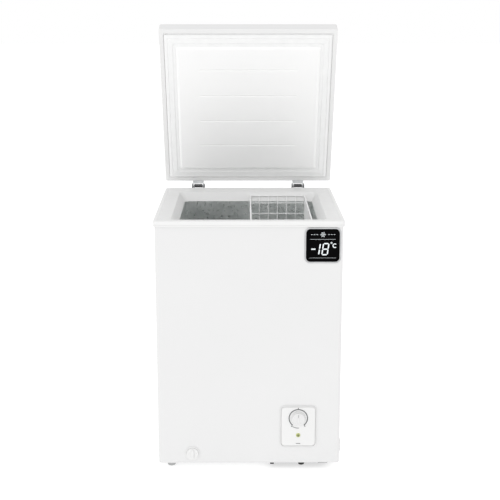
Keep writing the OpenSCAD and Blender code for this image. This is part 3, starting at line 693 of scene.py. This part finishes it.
def side_vent():
    """Louvred plate: a rounded rim and slanted blades behind long slots."""
    low, high = box_mm("side_vent")
    at = (low + high) / 2
    wide, tall = high.y - low.y, high.z - low.z
    thick = high.x - SHELL_HIGH.x
    side = Matrix.Translation((SHELL_HIGH.x, at.y, at.z)) @ Matrix.Rotation(math.pi / 2, 4, "Z") \
        @ Matrix.Rotation(math.pi / 2, 4, "X")
    profile = rounded([(0, 0, 0.2), (0, thick, 1.6), (6, thick, 0.8), (7.4, thick - 2, 0.6),
                       (7.4, -3.2, 0.3), (9, -3.2, 0.3), (9, 0, 0.1)])
    bm = bmesh.new()
    moulding(bm, (wide, tall), (0, 0), profile, lambda inset: max(3 - inset * 0.3, 0.6), matrix=side)
    blades, blade, posts = 5, 1.4, 5
    inner_w, inner_h = wide - 15, tall - 15
    for i in range(blades):
        tilt = side @ Matrix.Translation((0, inner_h * (i / (blades - 1) - 0.5), -1)) \
            @ Matrix.Rotation(math.radians(38), 4, "X")
        cuboid(bm, (-inner_w / 2, -blade / 2, -2.6), (inner_w / 2, blade / 2, 2.6), tilt)
    for i in range(posts):
        x = inner_w * (i / (posts - 1) - 0.5)
        cuboid(bm, (x - 1, -inner_h / 2, -3), (x + 1, inner_h / 2, thick - 2.2), side)
    place(solid("vent_louvres", bm), "cabinet", "white_plastic", ["side_vent"])


# ---------------------------------------------------------------- screws


HEAD_RADIUS, HEAD_HEIGHT = 4.0, 2.0


def screw(bm, matrix, shank):
    """A pan-head screw whose axis is the matrix's Z; shank is its length behind the head."""
    profile = rounded([(0.02, -shank, 0), (2, -shank, 0.3), (2, -0.2, 0), (HEAD_RADIUS, -0.2, 0.2),
                       (HEAD_RADIUS, 0.5, 0.5), (HEAD_RADIUS * 0.72, HEAD_HEIGHT, 0.8),
                       (0.02, HEAD_HEIGHT, 0)], closed=False)
    turned(bm, profile, matrix, steps=28)


def cross_cut(bm, matrix):
    """The screwdriver's recess: a plus sign, 4.4 mm across and 1.1 mm deep."""
    arm, half = 2.2, 0.45
    corner = [(arm, -half), (arm, half), (half, half)]
    plan = []
    for x, y in ((1, 0), (0, 1), (-1, 0), (0, -1)):
        plan += [Vector((a * x - b * y, a * y + b * x, HEAD_HEIGHT - 1.1)) for a, b in corner]
    skin(bm, [plan, lifted(plan, z=2.1)], matrix=matrix @ Matrix.Rotation(0.5, 4, "Z"))


def screws(name, spots, body, node, shank, swing=None):
    """Screws with a cross recess, all in one piece; swing turns the whole group."""
    bm, cutter = bmesh.new(), bmesh.new()
    for spot in spots:
        screw(bm, spot, shank)
        cross_cut(cutter, spot)
    piece = solid(name, bm, swing)
    carve(piece, cutter, swing)
    place(piece, body, "zinc_sheet", [node])


def all_screws():
    """The screws of the hinge brackets, the back grille and the hinge leaves."""
    r = HEAD_RADIUS
    low, high = box_mm("bracket_screws")
    spread = 10  # from a hinge's middle to its outer screws
    hinge_x = (high.x - low.x) / 2 - spread - r
    spots = [facing_back(side * hinge_x + dx, high.y - HEAD_HEIGHT, z) for side in (-1, 1)
             for dx, z in ((-spread, low.z + r), (spread, low.z + r), (0, high.z - r))]
    screws("hinge_bracket_screws", spots, "cabinet", "bracket_screws", 3.4)

    low, high = box_mm("grille_screws")
    spots = [facing_back(x, high.y - HEAD_HEIGHT, z)
             for x in (low.x + r, high.x - r) for z in (low.z + r, high.z - r)]
    screws("back_grille_screws", spots, "cabinet", "grille_screws", 2.9)

    low, high = closed_box("leaf_screws")
    spots = [facing_back(side * hinge_x + dx, high.y - HEAD_HEIGHT, (low.z + high.z) / 2)
             for side in (-1, 1) for dx in (-8, 8)]
    screws("hinge_leaf_screws", spots, "lid", "leaf_screws", 3.6, SWING)


# ---------------------------------------------------------------- lid

LID_LOW, LID_HIGH = closed_box("lid_shell")
LID_SIZE = (LID_HIGH.x - LID_LOW.x, LID_HIGH.y - LID_LOW.y)
LID_MIDDLE = (LID_LOW + LID_HIGH) / 2
LIP_Z = closed_box("lid_frame")[0].z
PANEL_Z = closed_box("lid_panel")[0].z
LID_CORNER = 6


def lid_corner(inset):
    return max(LID_CORNER - inset, 3)


def lid_piece(name, bm, slot, node, cut=None):
    """A piece of the lid, drawn with the lid closed and swung open with it."""
    piece = solid(name, bm, SWING)
    if cut:
        carve(piece, cut, SWING)
    place(piece, "lid", slot, [node])


def lid_shell():
    """Drawn outer cover with a soft top edge, open below where the edge frame closes it."""
    wall = 1.2
    profile = rounded([(60, LID_HIGH.z - wall, 0), (wall, LID_HIGH.z - wall, 5), (wall, LID_LOW.z, 0.3),
                       (0, LID_LOW.z, 0.6), (0, LID_HIGH.z, 6), (60, LID_HIGH.z, 0)],
                      closed=False, steps=6)
    bm = bmesh.new()
    moulding(bm, LID_SIZE, LID_MIDDLE, profile, lid_corner, ring=False)
    lid_piece("lid_cover", bm, "cabinet_paint", "lid_shell")


def lid_frame():
    """Lower edge: the plain band outside the seal, with a fine shadow line under the cover."""
    top = LID_LOW.z
    profile = rounded([(0.5, top, 0.1), (0.5, top - 0.6, 0.2), (0, top - 0.8, 0.2), (0, LIP_Z, 1.6),
                       (13.4, LIP_Z, 0.8), (15, LIP_Z + 1.6, 0.6), (15, top, 0.1)])
    bm = bmesh.new()
    moulding(bm, LID_SIZE, LID_MIDDLE, profile, lid_corner)
    lid_piece("lid_edge_frame", bm, "white_plastic", "lid_frame")


def lid_panel():
    """Vacuum-formed inner panel: flange, chamfered plug and four shallow grooves."""
    low, high = closed_box("lid_panel")
    flange_z, plateau = LID_LOW.z, low.z
    inset = (LID_SIZE[0] - (high.x - low.x)) / 2
    flange = (LID_SIZE[0] - 2 * inset, LID_SIZE[1] - 2 * inset)
    plug = (RIM_SIZE[0] - 90, RIM_SIZE[1] - 90)  # at the chamfer's foot
    thick = 2

    def plug_loop(inset, z, corner):
        plan = outline(plug[0] - 2 * inset, plug[1] - 2 * inset, corner)
        return lifted(plan, RIM_MIDDLE.x, RIM_MIDDLE.y, z)

    seen = [lifted(outline(*flange, 12), LID_MIDDLE.x, LID_MIDDLE.y, z)
            for z in (flange_z + thick, flange_z)]
    for p in rounded([(-9, flange_z, 0), (0, flange_z, 2.5), (10, plateau, 12), (40, plateau, 0)],
                     closed=False, steps=7):
        seen.append(plug_loop(p.x, p.y, max(12 - 0.4 * max(p.x, 0), 6)))
    hidden = [plug_loop(inset, z, 7) for inset, z in
              ((40, plateau + thick), (10 + thick, plateau + thick), (thick + 1, flange_z + thick))]
    bm = bmesh.new()
    skin(bm, hidden + seen)

    grooves = bmesh.new()
    count, depth, radius, length, pitch = 4, 1.1, 4.2, 322, 93
    profile = rounded([(0.02, 0, 0), (radius, 0, 3.5), (radius, length, 3.5), (0.02, length, 0)],
                      closed=False, steps=6)
    for i in range(count):
        y = RIM_MIDDLE.y - 7 + (i - (count - 1) / 2) * pitch
        spot = Matrix.Translation((-length / 2, y, plateau + depth - radius))
        turned(grooves, profile, spot @ Matrix.Rotation(math.pi / 2, 4, "Y"), steps=40)
    lid_piece("lid_inner_panel", bm, "lid_inner_plastic", "lid_panel", grooves)


def lid_gasket():
    """Soft seal: an outer lip, a valley, a cushion along the seat, an inner fin, mitred corners."""
    top = LID_LOW.z

    def seat(inset):
        """Height just above the collar's sloping seat."""
        return RIM_TOP - 6 * (inset - 12) / 39 + 0.45

    profile = rounded([(14.8, top, 0.3), (14.8, LIP_Z - 0.6, 0.8), (18.5, seat(18.5) + 0.4, 2.4),
                       (24.5, seat(24.5), 1.2), (25.6, seat(25.6) + 1.5, 0.5),
                       (27, seat(27) + 1.5, 0.5), (28.1, seat(28.1), 1.2), (41, seat(41), 1.6),
                       (43.5, seat(43.5) + 1.9, 1.2), (52.2, PANEL_Z + 4.6, 0.4),
                       (51.6, PANEL_Z + 6.2, 0.3), (44, seat(44) + 4.6, 0.8), (44, top, 0.3)], steps=3)
    bm = bmesh.new()
    moulding(bm, RIM_SIZE, RIM_MIDDLE, profile,
             lambda inset: 4 + 6 * min(max(inset - 14.5, 0) / 29.5, 1))
    notches = bmesh.new()
    for sx in (-1, 1):
        for sy in (-1, 1):
            x = RIM_MIDDLE.x + sx * (RIM_SIZE[0] / 2 - 29.5)
            y = RIM_MIDDLE.y + sy * (RIM_SIZE[1] / 2 - 29.5)
            mitre = Matrix.Translation((x, y, 0)) @ Matrix.Rotation(math.atan2(sy, sx), 4, "Z")
            cuboid(notches, (-24, -0.3, RIM_TOP - 8), (24, 0.3, RIM_TOP - 2.6), mitre)
    lid_piece("lid_seal", bm, "white_rubber", "lid_gasket", notches)


# ---------------------------------------------------------------- hinges


PIN_TAIL, PIN_HEAD = 21.5, 23.5  # how far a pin reaches to each side of its hinge's middle
HINGES = (("left", box_mm("hinge_pins")[0].x + PIN_TAIL),
          ("right", box_mm("hinge_pins")[1].x - PIN_HEAD))


def hinge_pins():
    profile = rounded([(0.02, -PIN_TAIL, 0), (3, -PIN_TAIL, 0.6), (3, 21.4, 0), (4.5, 21.4, 0.2),
                       (4.5, PIN_HEAD, 0.9), (0.02, PIN_HEAD, 0)], closed=False)
    for name, x in HINGES:
        along = Matrix.Translation((x, PIN.y, PIN.z)) @ Matrix.Rotation(math.pi / 2, 4, "Y")
        bm = bmesh.new()
        turned(bm, profile, along, steps=36)
        place(solid(f"{name}_hinge_pin", bm), "cabinet", "zinc_sheet", ["hinge_pins"])


def hinge_springs():
    """Counterbalance coils round the pins, with a leg at each end against the bracket."""
    coil, wire_r, turns, reach, steps = 5.2, 1.15, 11, 14, 28
    for name, x in HINGES:
        line = [Vector((x - reach, BACK + 3.4, PIN.z - coil))]
        for k in range(turns * steps + 1):
            a = 2 * math.pi * k / steps - math.pi / 2
            line.append(Vector((x - reach + 2 * reach * k / (turns * steps),
                                PIN.y + coil * math.cos(a), PIN.z + coil * math.sin(a))))
        line.append(Vector((x + reach, BACK + 3.4, PIN.z - coil)))
        spring = wire(f"{name}_hinge_spring", [(line, False)], wire_r)
        place(spring, "cabinet", "spring_steel", ["hinge_springs"])


# ---------------------------------------------------------------- controls


def control_panel():
    """Moulded panel with a soft edge and a fine recessed line inside it."""
    low, high = box_mm("control_panel")
    at = (low + high) / 2
    proud = SHELL_FRONT - low.y
    profile = rounded([(40, -4, 0), (5, -4, 0), (5, 0, 0), (0, 0, 0), (0, proud, 1.2),
                       (1.9, proud, 0.2), (2.1, 0.6, 0.2), (3.7, 0.6, 0.2), (3.9, proud - 0.1, 0.3),
                       (40, proud - 0.1, 0)], closed=False)
    bm = bmesh.new()
    moulding(bm, (high.x - low.x, high.z - low.z), (0, 0), profile, lambda inset: max(14 - inset, 4),
             ring=False, matrix=facing(at.x, SHELL_FRONT, at.z))
    piece = solid("control_plate", bm)
    holes = bmesh.new()
    for node, radius in (("thermostat_shaft", 3.5), ("indicator_lens", 7)):
        at = middle_of(node)
        turned(holes, [(radius, -10), (radius, 10)], facing(at.x, SHELL_FRONT, at.z))
    carve(piece, holes)
    place(piece, "cabinet", "white_plastic", ["control_panel"])


def arc_band(bm, middle, radius, start, end, width, thick, matrix):
    """A flat band along an arc, its angles in degrees, as thick as given above its own plane."""
    steps = max(6, int(abs(end - start) / 3))
    turns = [math.radians(start + (end - start) * k / steps) for k in range(steps + 1)]
    inner, outer = radius - width / 2, radius + width / 2
    rows = [[Vector((middle[0] + r * math.cos(a), middle[1] + r * math.sin(a), h)) for a in turns]
            for r, h in ((inner, 0), (inner, thick), (outer, thick), (outer, 0))]
    skin(bm, rows, ring=True, around=False, matrix=matrix)


def bar(bm, start, end, width, thick, matrix, point=0.5):
    """A flat bar from start to end. Its ends come to a point that is width times point long."""
    start, end = Vector(start).to_3d(), Vector(end).to_3d()
    along = (end - start).normalized()
    across = Vector((-along.y, along.x, 0)) * width / 2
    tip = along * width * point
    plan = [start, start + tip + across, end - tip + across,
            end, end - tip - across, start + tip - across]
    skin(bm, [plan, lifted(plan, z=thick)], matrix=matrix)


def dial_scale():
    """Print round the knob: a band with three marks and a thin tail, and a bar under the lamp."""
    low, high = box_mm("dial_scale")
    knob, lamp = middle_of("thermostat_knob"), middle_of("indicator_lens")
    thick = high.y - low.y
    first, last = 232, -52  # the ends of the band, in degrees
    bm = bmesh.new()
    front = facing(knob.x, high.y, knob.z)
    arc_band(bm, (0, 0), 28.5, first, last, 2.9, thick, front)
    for angle in (last, first):
        turn = front @ Matrix.Rotation(math.radians(angle), 4, "Z")
        bar(bm, (30.2, 0), (35, 0), 2.4, thick, turn, 0.1)
    bar(bm, (0, 30), (0, 34.2), 2.2, thick, front, 0.1)
    arc_band(bm, (0, 0), 32.5, first + 4, 274, 1.6, thick, front)
    bar(bm, (-7, -27.5), (7, -27.5), 1.7, thick, facing(lamp.x, high.y, lamp.z), 0.1)
    place(solid("temperature_scale", bm), "cabinet", "grey_print", ["dial_scale"])


def grip(half_width, half_length, corner, levels, matrix):
    """An upright finger grip with round corners, through levels of (inset, height)."""
    bm = bmesh.new()
    loops = []
    for inset, height in levels:
        x, y = half_width - inset, half_length - inset
        loops.append(lifted(bent([(x, y), (x, -y), (-x, -y), (-x, y)], corner, steps=5), z=height))
    skin(bm, loops, matrix=matrix)
    return bm


def thermostat_knob():
    """Round knob: a skirt, a fluted wall and a dished face with a raised grip."""
    low, high = box_mm("thermostat_knob")
    at = (low + high) / 2
    front = facing(at.x, high.y, at.z)
    deep = high.y - low.y
    skirt = (high.x - low.x) / 2
    wall = skirt - 3.2
    bm = bmesh.new()
    turned(bm, rounded([(3, 0, 0), (skirt, 0, 0.8), (skirt, 3.2, 0.9), (wall + 1.4, 4.4, 0.8),
                        (wall + 1.2, deep - 1.2, 1.2), (wall - 2.2, deep, 1.0),
                        (wall - 4.2, deep - 1.4, 1.0), (0.02, deep - 1.7, 0)], closed=False),
           front, steps=72)
    piece = solid("knob_body", bm)
    flutes, count = bmesh.new(), 24
    for k in range(count):
        turn = front @ Matrix.Rotation(2 * math.pi * k / count, 4, "Z")
        turned(flutes, [(1.15, 5.2), (1.15, deep + 1)], turn @ Matrix.Translation((wall + 2, 0, 0)),
               steps=12)
    carve(piece, flutes)
    levels = [(0.2, deep - 3.2), (0.2, deep - 1.2), (0.6, deep - 0.4), (1.4, deep)]
    carve(piece, grip(4.2, wall - 5, 2.4, levels, front), operation="UNION")
    place(piece, "knob", "knob_plastic", ["thermostat_knob"])

    low, high = box_mm("knob_pointer")
    bm = bmesh.new()
    bar(bm, (0, low.z - at.z + 1), (0, high.z - at.z - 1), 0.8, high.y - low.y,
        facing(at.x, high.y, at.z), 0.4)
    place(solid("knob_mark", bm), "knob", "grey_print", ["knob_pointer"])


def indicator_lens():
    """Domed lens of the pilot lamp, standing a little out of the panel."""
    low, high = box_mm("indicator_lens")
    at = (low + high) / 2
    radius = (high.x - low.x) / 2
    profile = rounded([(0.02, 0, 0), (radius, 0, 0.3), (radius, 8.4, 0.9), (radius - 1.2, 10.0, 1.5),
                       (radius * 0.5, 10.9, 3), (0.02, 11.1, 0)], closed=False)
    bm = bmesh.new()
    turned(bm, profile, facing(at.x, high.y, at.z))
    place(solid("pilot_lens", bm), "cabinet", "green_lens", ["indicator_lens"])


# ---------------------------------------------------------------- temperature display


def tile(name, slot, node, base, profile, corner, closed):
    """A rectangular plate of the display, drawn round its CAD node from a base plane in Y."""
    low, high = box_mm(node)
    bm = bmesh.new()
    moulding(bm, (high.x - low.x, high.z - low.z), (0, 0), profile, corner, ring=closed,
             matrix=facing((low.x + high.x) / 2, base, (low.z + high.z) / 2))
    place(solid(name, bm), "cabinet", slot, [node])


def figure(bm, left, foot, size, bars, width, thick, top):
    """A seven-bar figure; bars are numbered from the top clockwise, the middle one last."""
    w, h = size
    gap = 0.6
    ends = [((gap, h), (w - gap, h)), ((w, h - gap), (w, h / 2 + gap)), ((w, h / 2 - gap), (w, gap)),
            ((gap, 0), (w - gap, 0)), ((0, gap), (0, h / 2 - gap)), ((0, h / 2 + gap), (0, h - gap)),
            ((gap, h / 2), (w - gap, h / 2))]
    lean = Matrix(((1, 0.14, 0, 0), (0, 1, 0, 0), (0, 0, 1, 0), (0, 0, 0, 1)))
    spot = top @ Matrix.Translation((left, foot, 0)) @ lean
    for k in bars:
        bar(bm, *ends[k], width, thick, spot)


def display():
    """Black tile in a silvered rim, with a generic reading, a snowflake and plain dashes."""
    rim, face, marks = (box_mm("display_" + part) for part in ("bezel", "face", "segments"))
    inset = (rim[1].x - rim[0].x - face[1].x + face[0].x) / 2
    proud = rim[1].y - rim[0].y
    tile("display_rim", "display_rim", "display_bezel", rim[1].y,
         rounded([(0, 0, 0.1), (0.3, proud - 0.2, 1.4), (inset - 0.6, proud - 0.1, 0.6),
                  (inset - 0.2, proud - 0.8, 0.2), (inset - 0.2, 0, 0.1)]),
         lambda t: max(17 - t, 2), True)
    proud = rim[1].y - face[0].y
    tile("display_tile", "display_black", "display_face", rim[1].y,
         rounded([(30, 0, 0), (0, 0, 0.1), (0, proud, 0.8), (30, proud, 0)], closed=False),
         lambda t: max(13 - t, 4), False)

    top = facing((rim[0].x + rim[1].x) / 2, marks[1].y, (rim[0].z + rim[1].z) / 2)
    thick = marks[1].y - marks[0].y
    bm = bmesh.new()
    bar(bm, (-35, -11), (-22, -11), 3.8, thick, top, 0.2)
    figure(bm, -20.5, -28, (8, 34), (1, 2), 3.9, thick, top)
    figure(bm, -3, -28, (16, 34), range(7), 3.6, thick, top)
    arc_band(bm, (25.5, 8), 2.1, 0, 359.9, 1.6, thick, top)  # the degree sign, then the C
    arc_band(bm, (35.5, -0.5), 5.6, 48, 312, 2.6, thick, top)
    bar(bm, (-38, 19), (38, 19), 0.55, thick, top, 0.1)
    bar(bm, (-40, -38), (40, -38), 0.4, thick, top, 0.1)
    crest = 33.5  # height of the snowflake and the dashes beside it
    for arm in range(6):
        turn = top @ Matrix.Translation((0, crest, 0)) @ Matrix.Rotation(math.radians(60 * arm), 4, "Z")
        bar(bm, (0.8, 0), (8.2, 0), 0.9, thick, turn, 0.1)
        for s in (-1, 1):
            bar(bm, (4.4, 0.3 * s), (6.6, 2.4 * s), 0.7, thick, turn, 0.1)
    for s in (-1, 1):
        for k in range(3):
            bar(bm, (s * (15 + 8 * k), crest), (s * (20 + 8 * k), crest), 1.0, thick, top, 0.1)
    place(solid("display_marks", bm), "cabinet", "display_white", ["display_segments"])


# ---------------------------------------------------------------- drain


def drain_ring_and_cap():
    """Ring on the front, and in it the cap with a finger grip between two scoops."""
    low, high = box_mm("drain_bezel")
    at = (low + high) / 2
    radius, proud = (high.x - low.x) / 2, high.y - low.y
    front = facing(at.x, high.y, at.z)
    cap_low, cap_high = box_mm("drain_dial")
    cap = (cap_high.x - cap_low.x) / 2
    bm = bmesh.new()
    turned(bm, rounded([(cap + 0.4, 0, 0.1), (radius, 0, 0.1), (radius, proud, 1.2),
                        (cap + 0.4, proud, 0.6)]), front, ring=True, steps=64)
    place(solid("drain_ring", bm), "cabinet", "white_plastic", ["drain_bezel"])

    back, deep = high.y - cap_high.y, high.y - cap_low.y
    rise = deep - 4  # the cap's plain face, below its grip
    bm = bmesh.new()
    turned(bm, rounded([(8, back, 0), (cap, back, 0.4), (cap, rise, 1.4), (cap - 3, rise + 0.1, 0.6),
                        (0.02, rise - 0.3, 0)], closed=False), front, steps=64)
    piece = solid("drain_cap", bm)
    levels = [(0, rise - 1.5), (0, deep - 1.2), (0.4, deep - 0.4), (1.2, deep)]
    carve(piece, grip(4, 14.6, 2.2, levels, front), operation="UNION")
    scoops, ball = bmesh.new(), 10.4
    for s in (-1, 1):
        spot = front @ Matrix.Translation((s * ball, 0, rise + 9.2)) @ Matrix.Diagonal((0.55, 1.25, 1, 1))
        bmesh.ops.create_uvsphere(scoops, u_segments=40, v_segments=24, radius=ball, matrix=spot)
    carve(piece, scoops)
    socket = bmesh.new()
    turned(socket, [(8, -1), (8, 3)], front)
    carve(piece, socket)
    place(piece, "drain_dial", "white_plastic", ["drain_dial"])


def floor_plug():
    """Plug in the tub's floor: a stem, a flange over the hole and a knob to pull it by."""
    at = middle_of("drain_plug")
    profile = rounded([(0.02, 0, 0), (6.4, 0, 1), (6.9, 2, 1), (6.9, 10, 0), (13, 10, 0.5),
                       (13, 12.4, 1), (10, 13, 1), (4.4, 13.2, 1), (3.6, 18, 1), (4.4, 20, 1),
                       (0.02, 20, 0)], closed=False)
    bm = bmesh.new()
    turned(bm, profile, Matrix.Translation((at.x, at.y, box_mm("drain_plug")[0].z)))
    place(solid("floor_plug", bm), "drain_plug", "white_plastic", ["drain_plug"])


# ---------------------------------------------------------------- basket


def basket():
    """White-coated wires: a stout rim, five hoops round the sides, and wires down, across and up."""
    low, high = box_mm("basket_rim")
    rim_r = (high.z - low.z) / 2
    top = high.z - rim_r
    left, right = low.x + rim_r, high.x - rim_r
    front, back = low.y + rim_r, high.y - rim_r
    rim = bent([(left, front, top), (right, front, top), (right, back, top), (left, back, top)],
               14, steps=8)
    place(wire("basket_rim_wire", [(rim, True)], rim_r), "basket", "coated_wire", ["basket_rim"])

    r = 1.4
    floor = box_mm("basket_floor")[0].z + r
    low, high = box_mm("basket_left")
    half_bar = (high.x - low.x) / 2
    x0, x1 = middle_of("basket_left").x, middle_of("basket_right").x
    y0, y1 = low.y + half_bar, high.y - half_bar
    hoops, count = [], 5
    for i in range(count):
        z = floor + r + (top - floor - r) * (i + 0.5) / count - 4
        hoops.append((bent([(x0, y0, z), (x1, y0, z), (x1, y1, z), (x0, y1, z)], 10, steps=5), True))
    place(wire("basket_hoops", hoops, r), "basket", "coated_wire",
          ["basket_left", "basket_right", "basket_front", "basket_back"])

    down = []
    crosswise, lengthwise = 14, 6  # fields between the wires
    for i in range(1, crosswise):
        y = y0 + (y1 - y0) * i / crosswise
        points = [(left + 0.5, y, top), (x0 + r, y, top - 9), (x0 + r, y, floor), (x1 - r, y, floor),
                  (x1 - r, y, top - 9), (right - 0.5, y, top)]
        down.append((bent(points, [0, 3, 9, 9, 3, 0], closed=False, steps=5), False))
    for i in range(1, lengthwise):
        x = x0 + (x1 - x0) * i / lengthwise
        above = floor + 2 * r  # these lie on the crosswise wires
        points = [(x, front + 0.5, top), (x, y0 + r, top - 16), (x, y0 + r, above),
                  (x, y1 - r, above), (x, y1 - r, top - 16), (x, back - 0.5, top)]
        down.append((bent(points, [0, 5, 9, 9, 5, 0], closed=False, steps=5), False))
    place(wire("basket_wires", down, r), "basket", "coated_wire", ["basket_floor"])


# ---------------------------------------------------------------- build

top_collar()
cabinet_wrap()
inner_liner()
cabinet_foam()
softened("back_panel", "cabinet", "back_paint", 0.3, 1)
softened("base_plate", "cabinet", "black_paint", 0.6)
softened("rear_grille", "cabinet", "black_paint", 0.5)
softened("relay_cover", "cabinet", "black_plastic", 1.2)
softened("thermostat_body", "cabinet", "ivory_plastic", 1.0)
softened("compressor_legs", "cabinet", "black_paint", 0.7)
feet()
rear_spacers()
side_vent()
all_screws()
lid_shell()
lid_frame()
lid_panel()
lid_gasket()
softened("lid_foam", "lid", "foam", 5, 3)
softened("hinge_leaves", "lid", "zinc_sheet", 0.5)
softened("hinge_brackets", "cabinet", "dark_steel", 0.5)
hinge_pins()
hinge_springs()
control_panel()
dial_scale()
thermostat_knob()
indicator_lens()
display()
drain_ring_and_cap()
floor_plug()
basket()
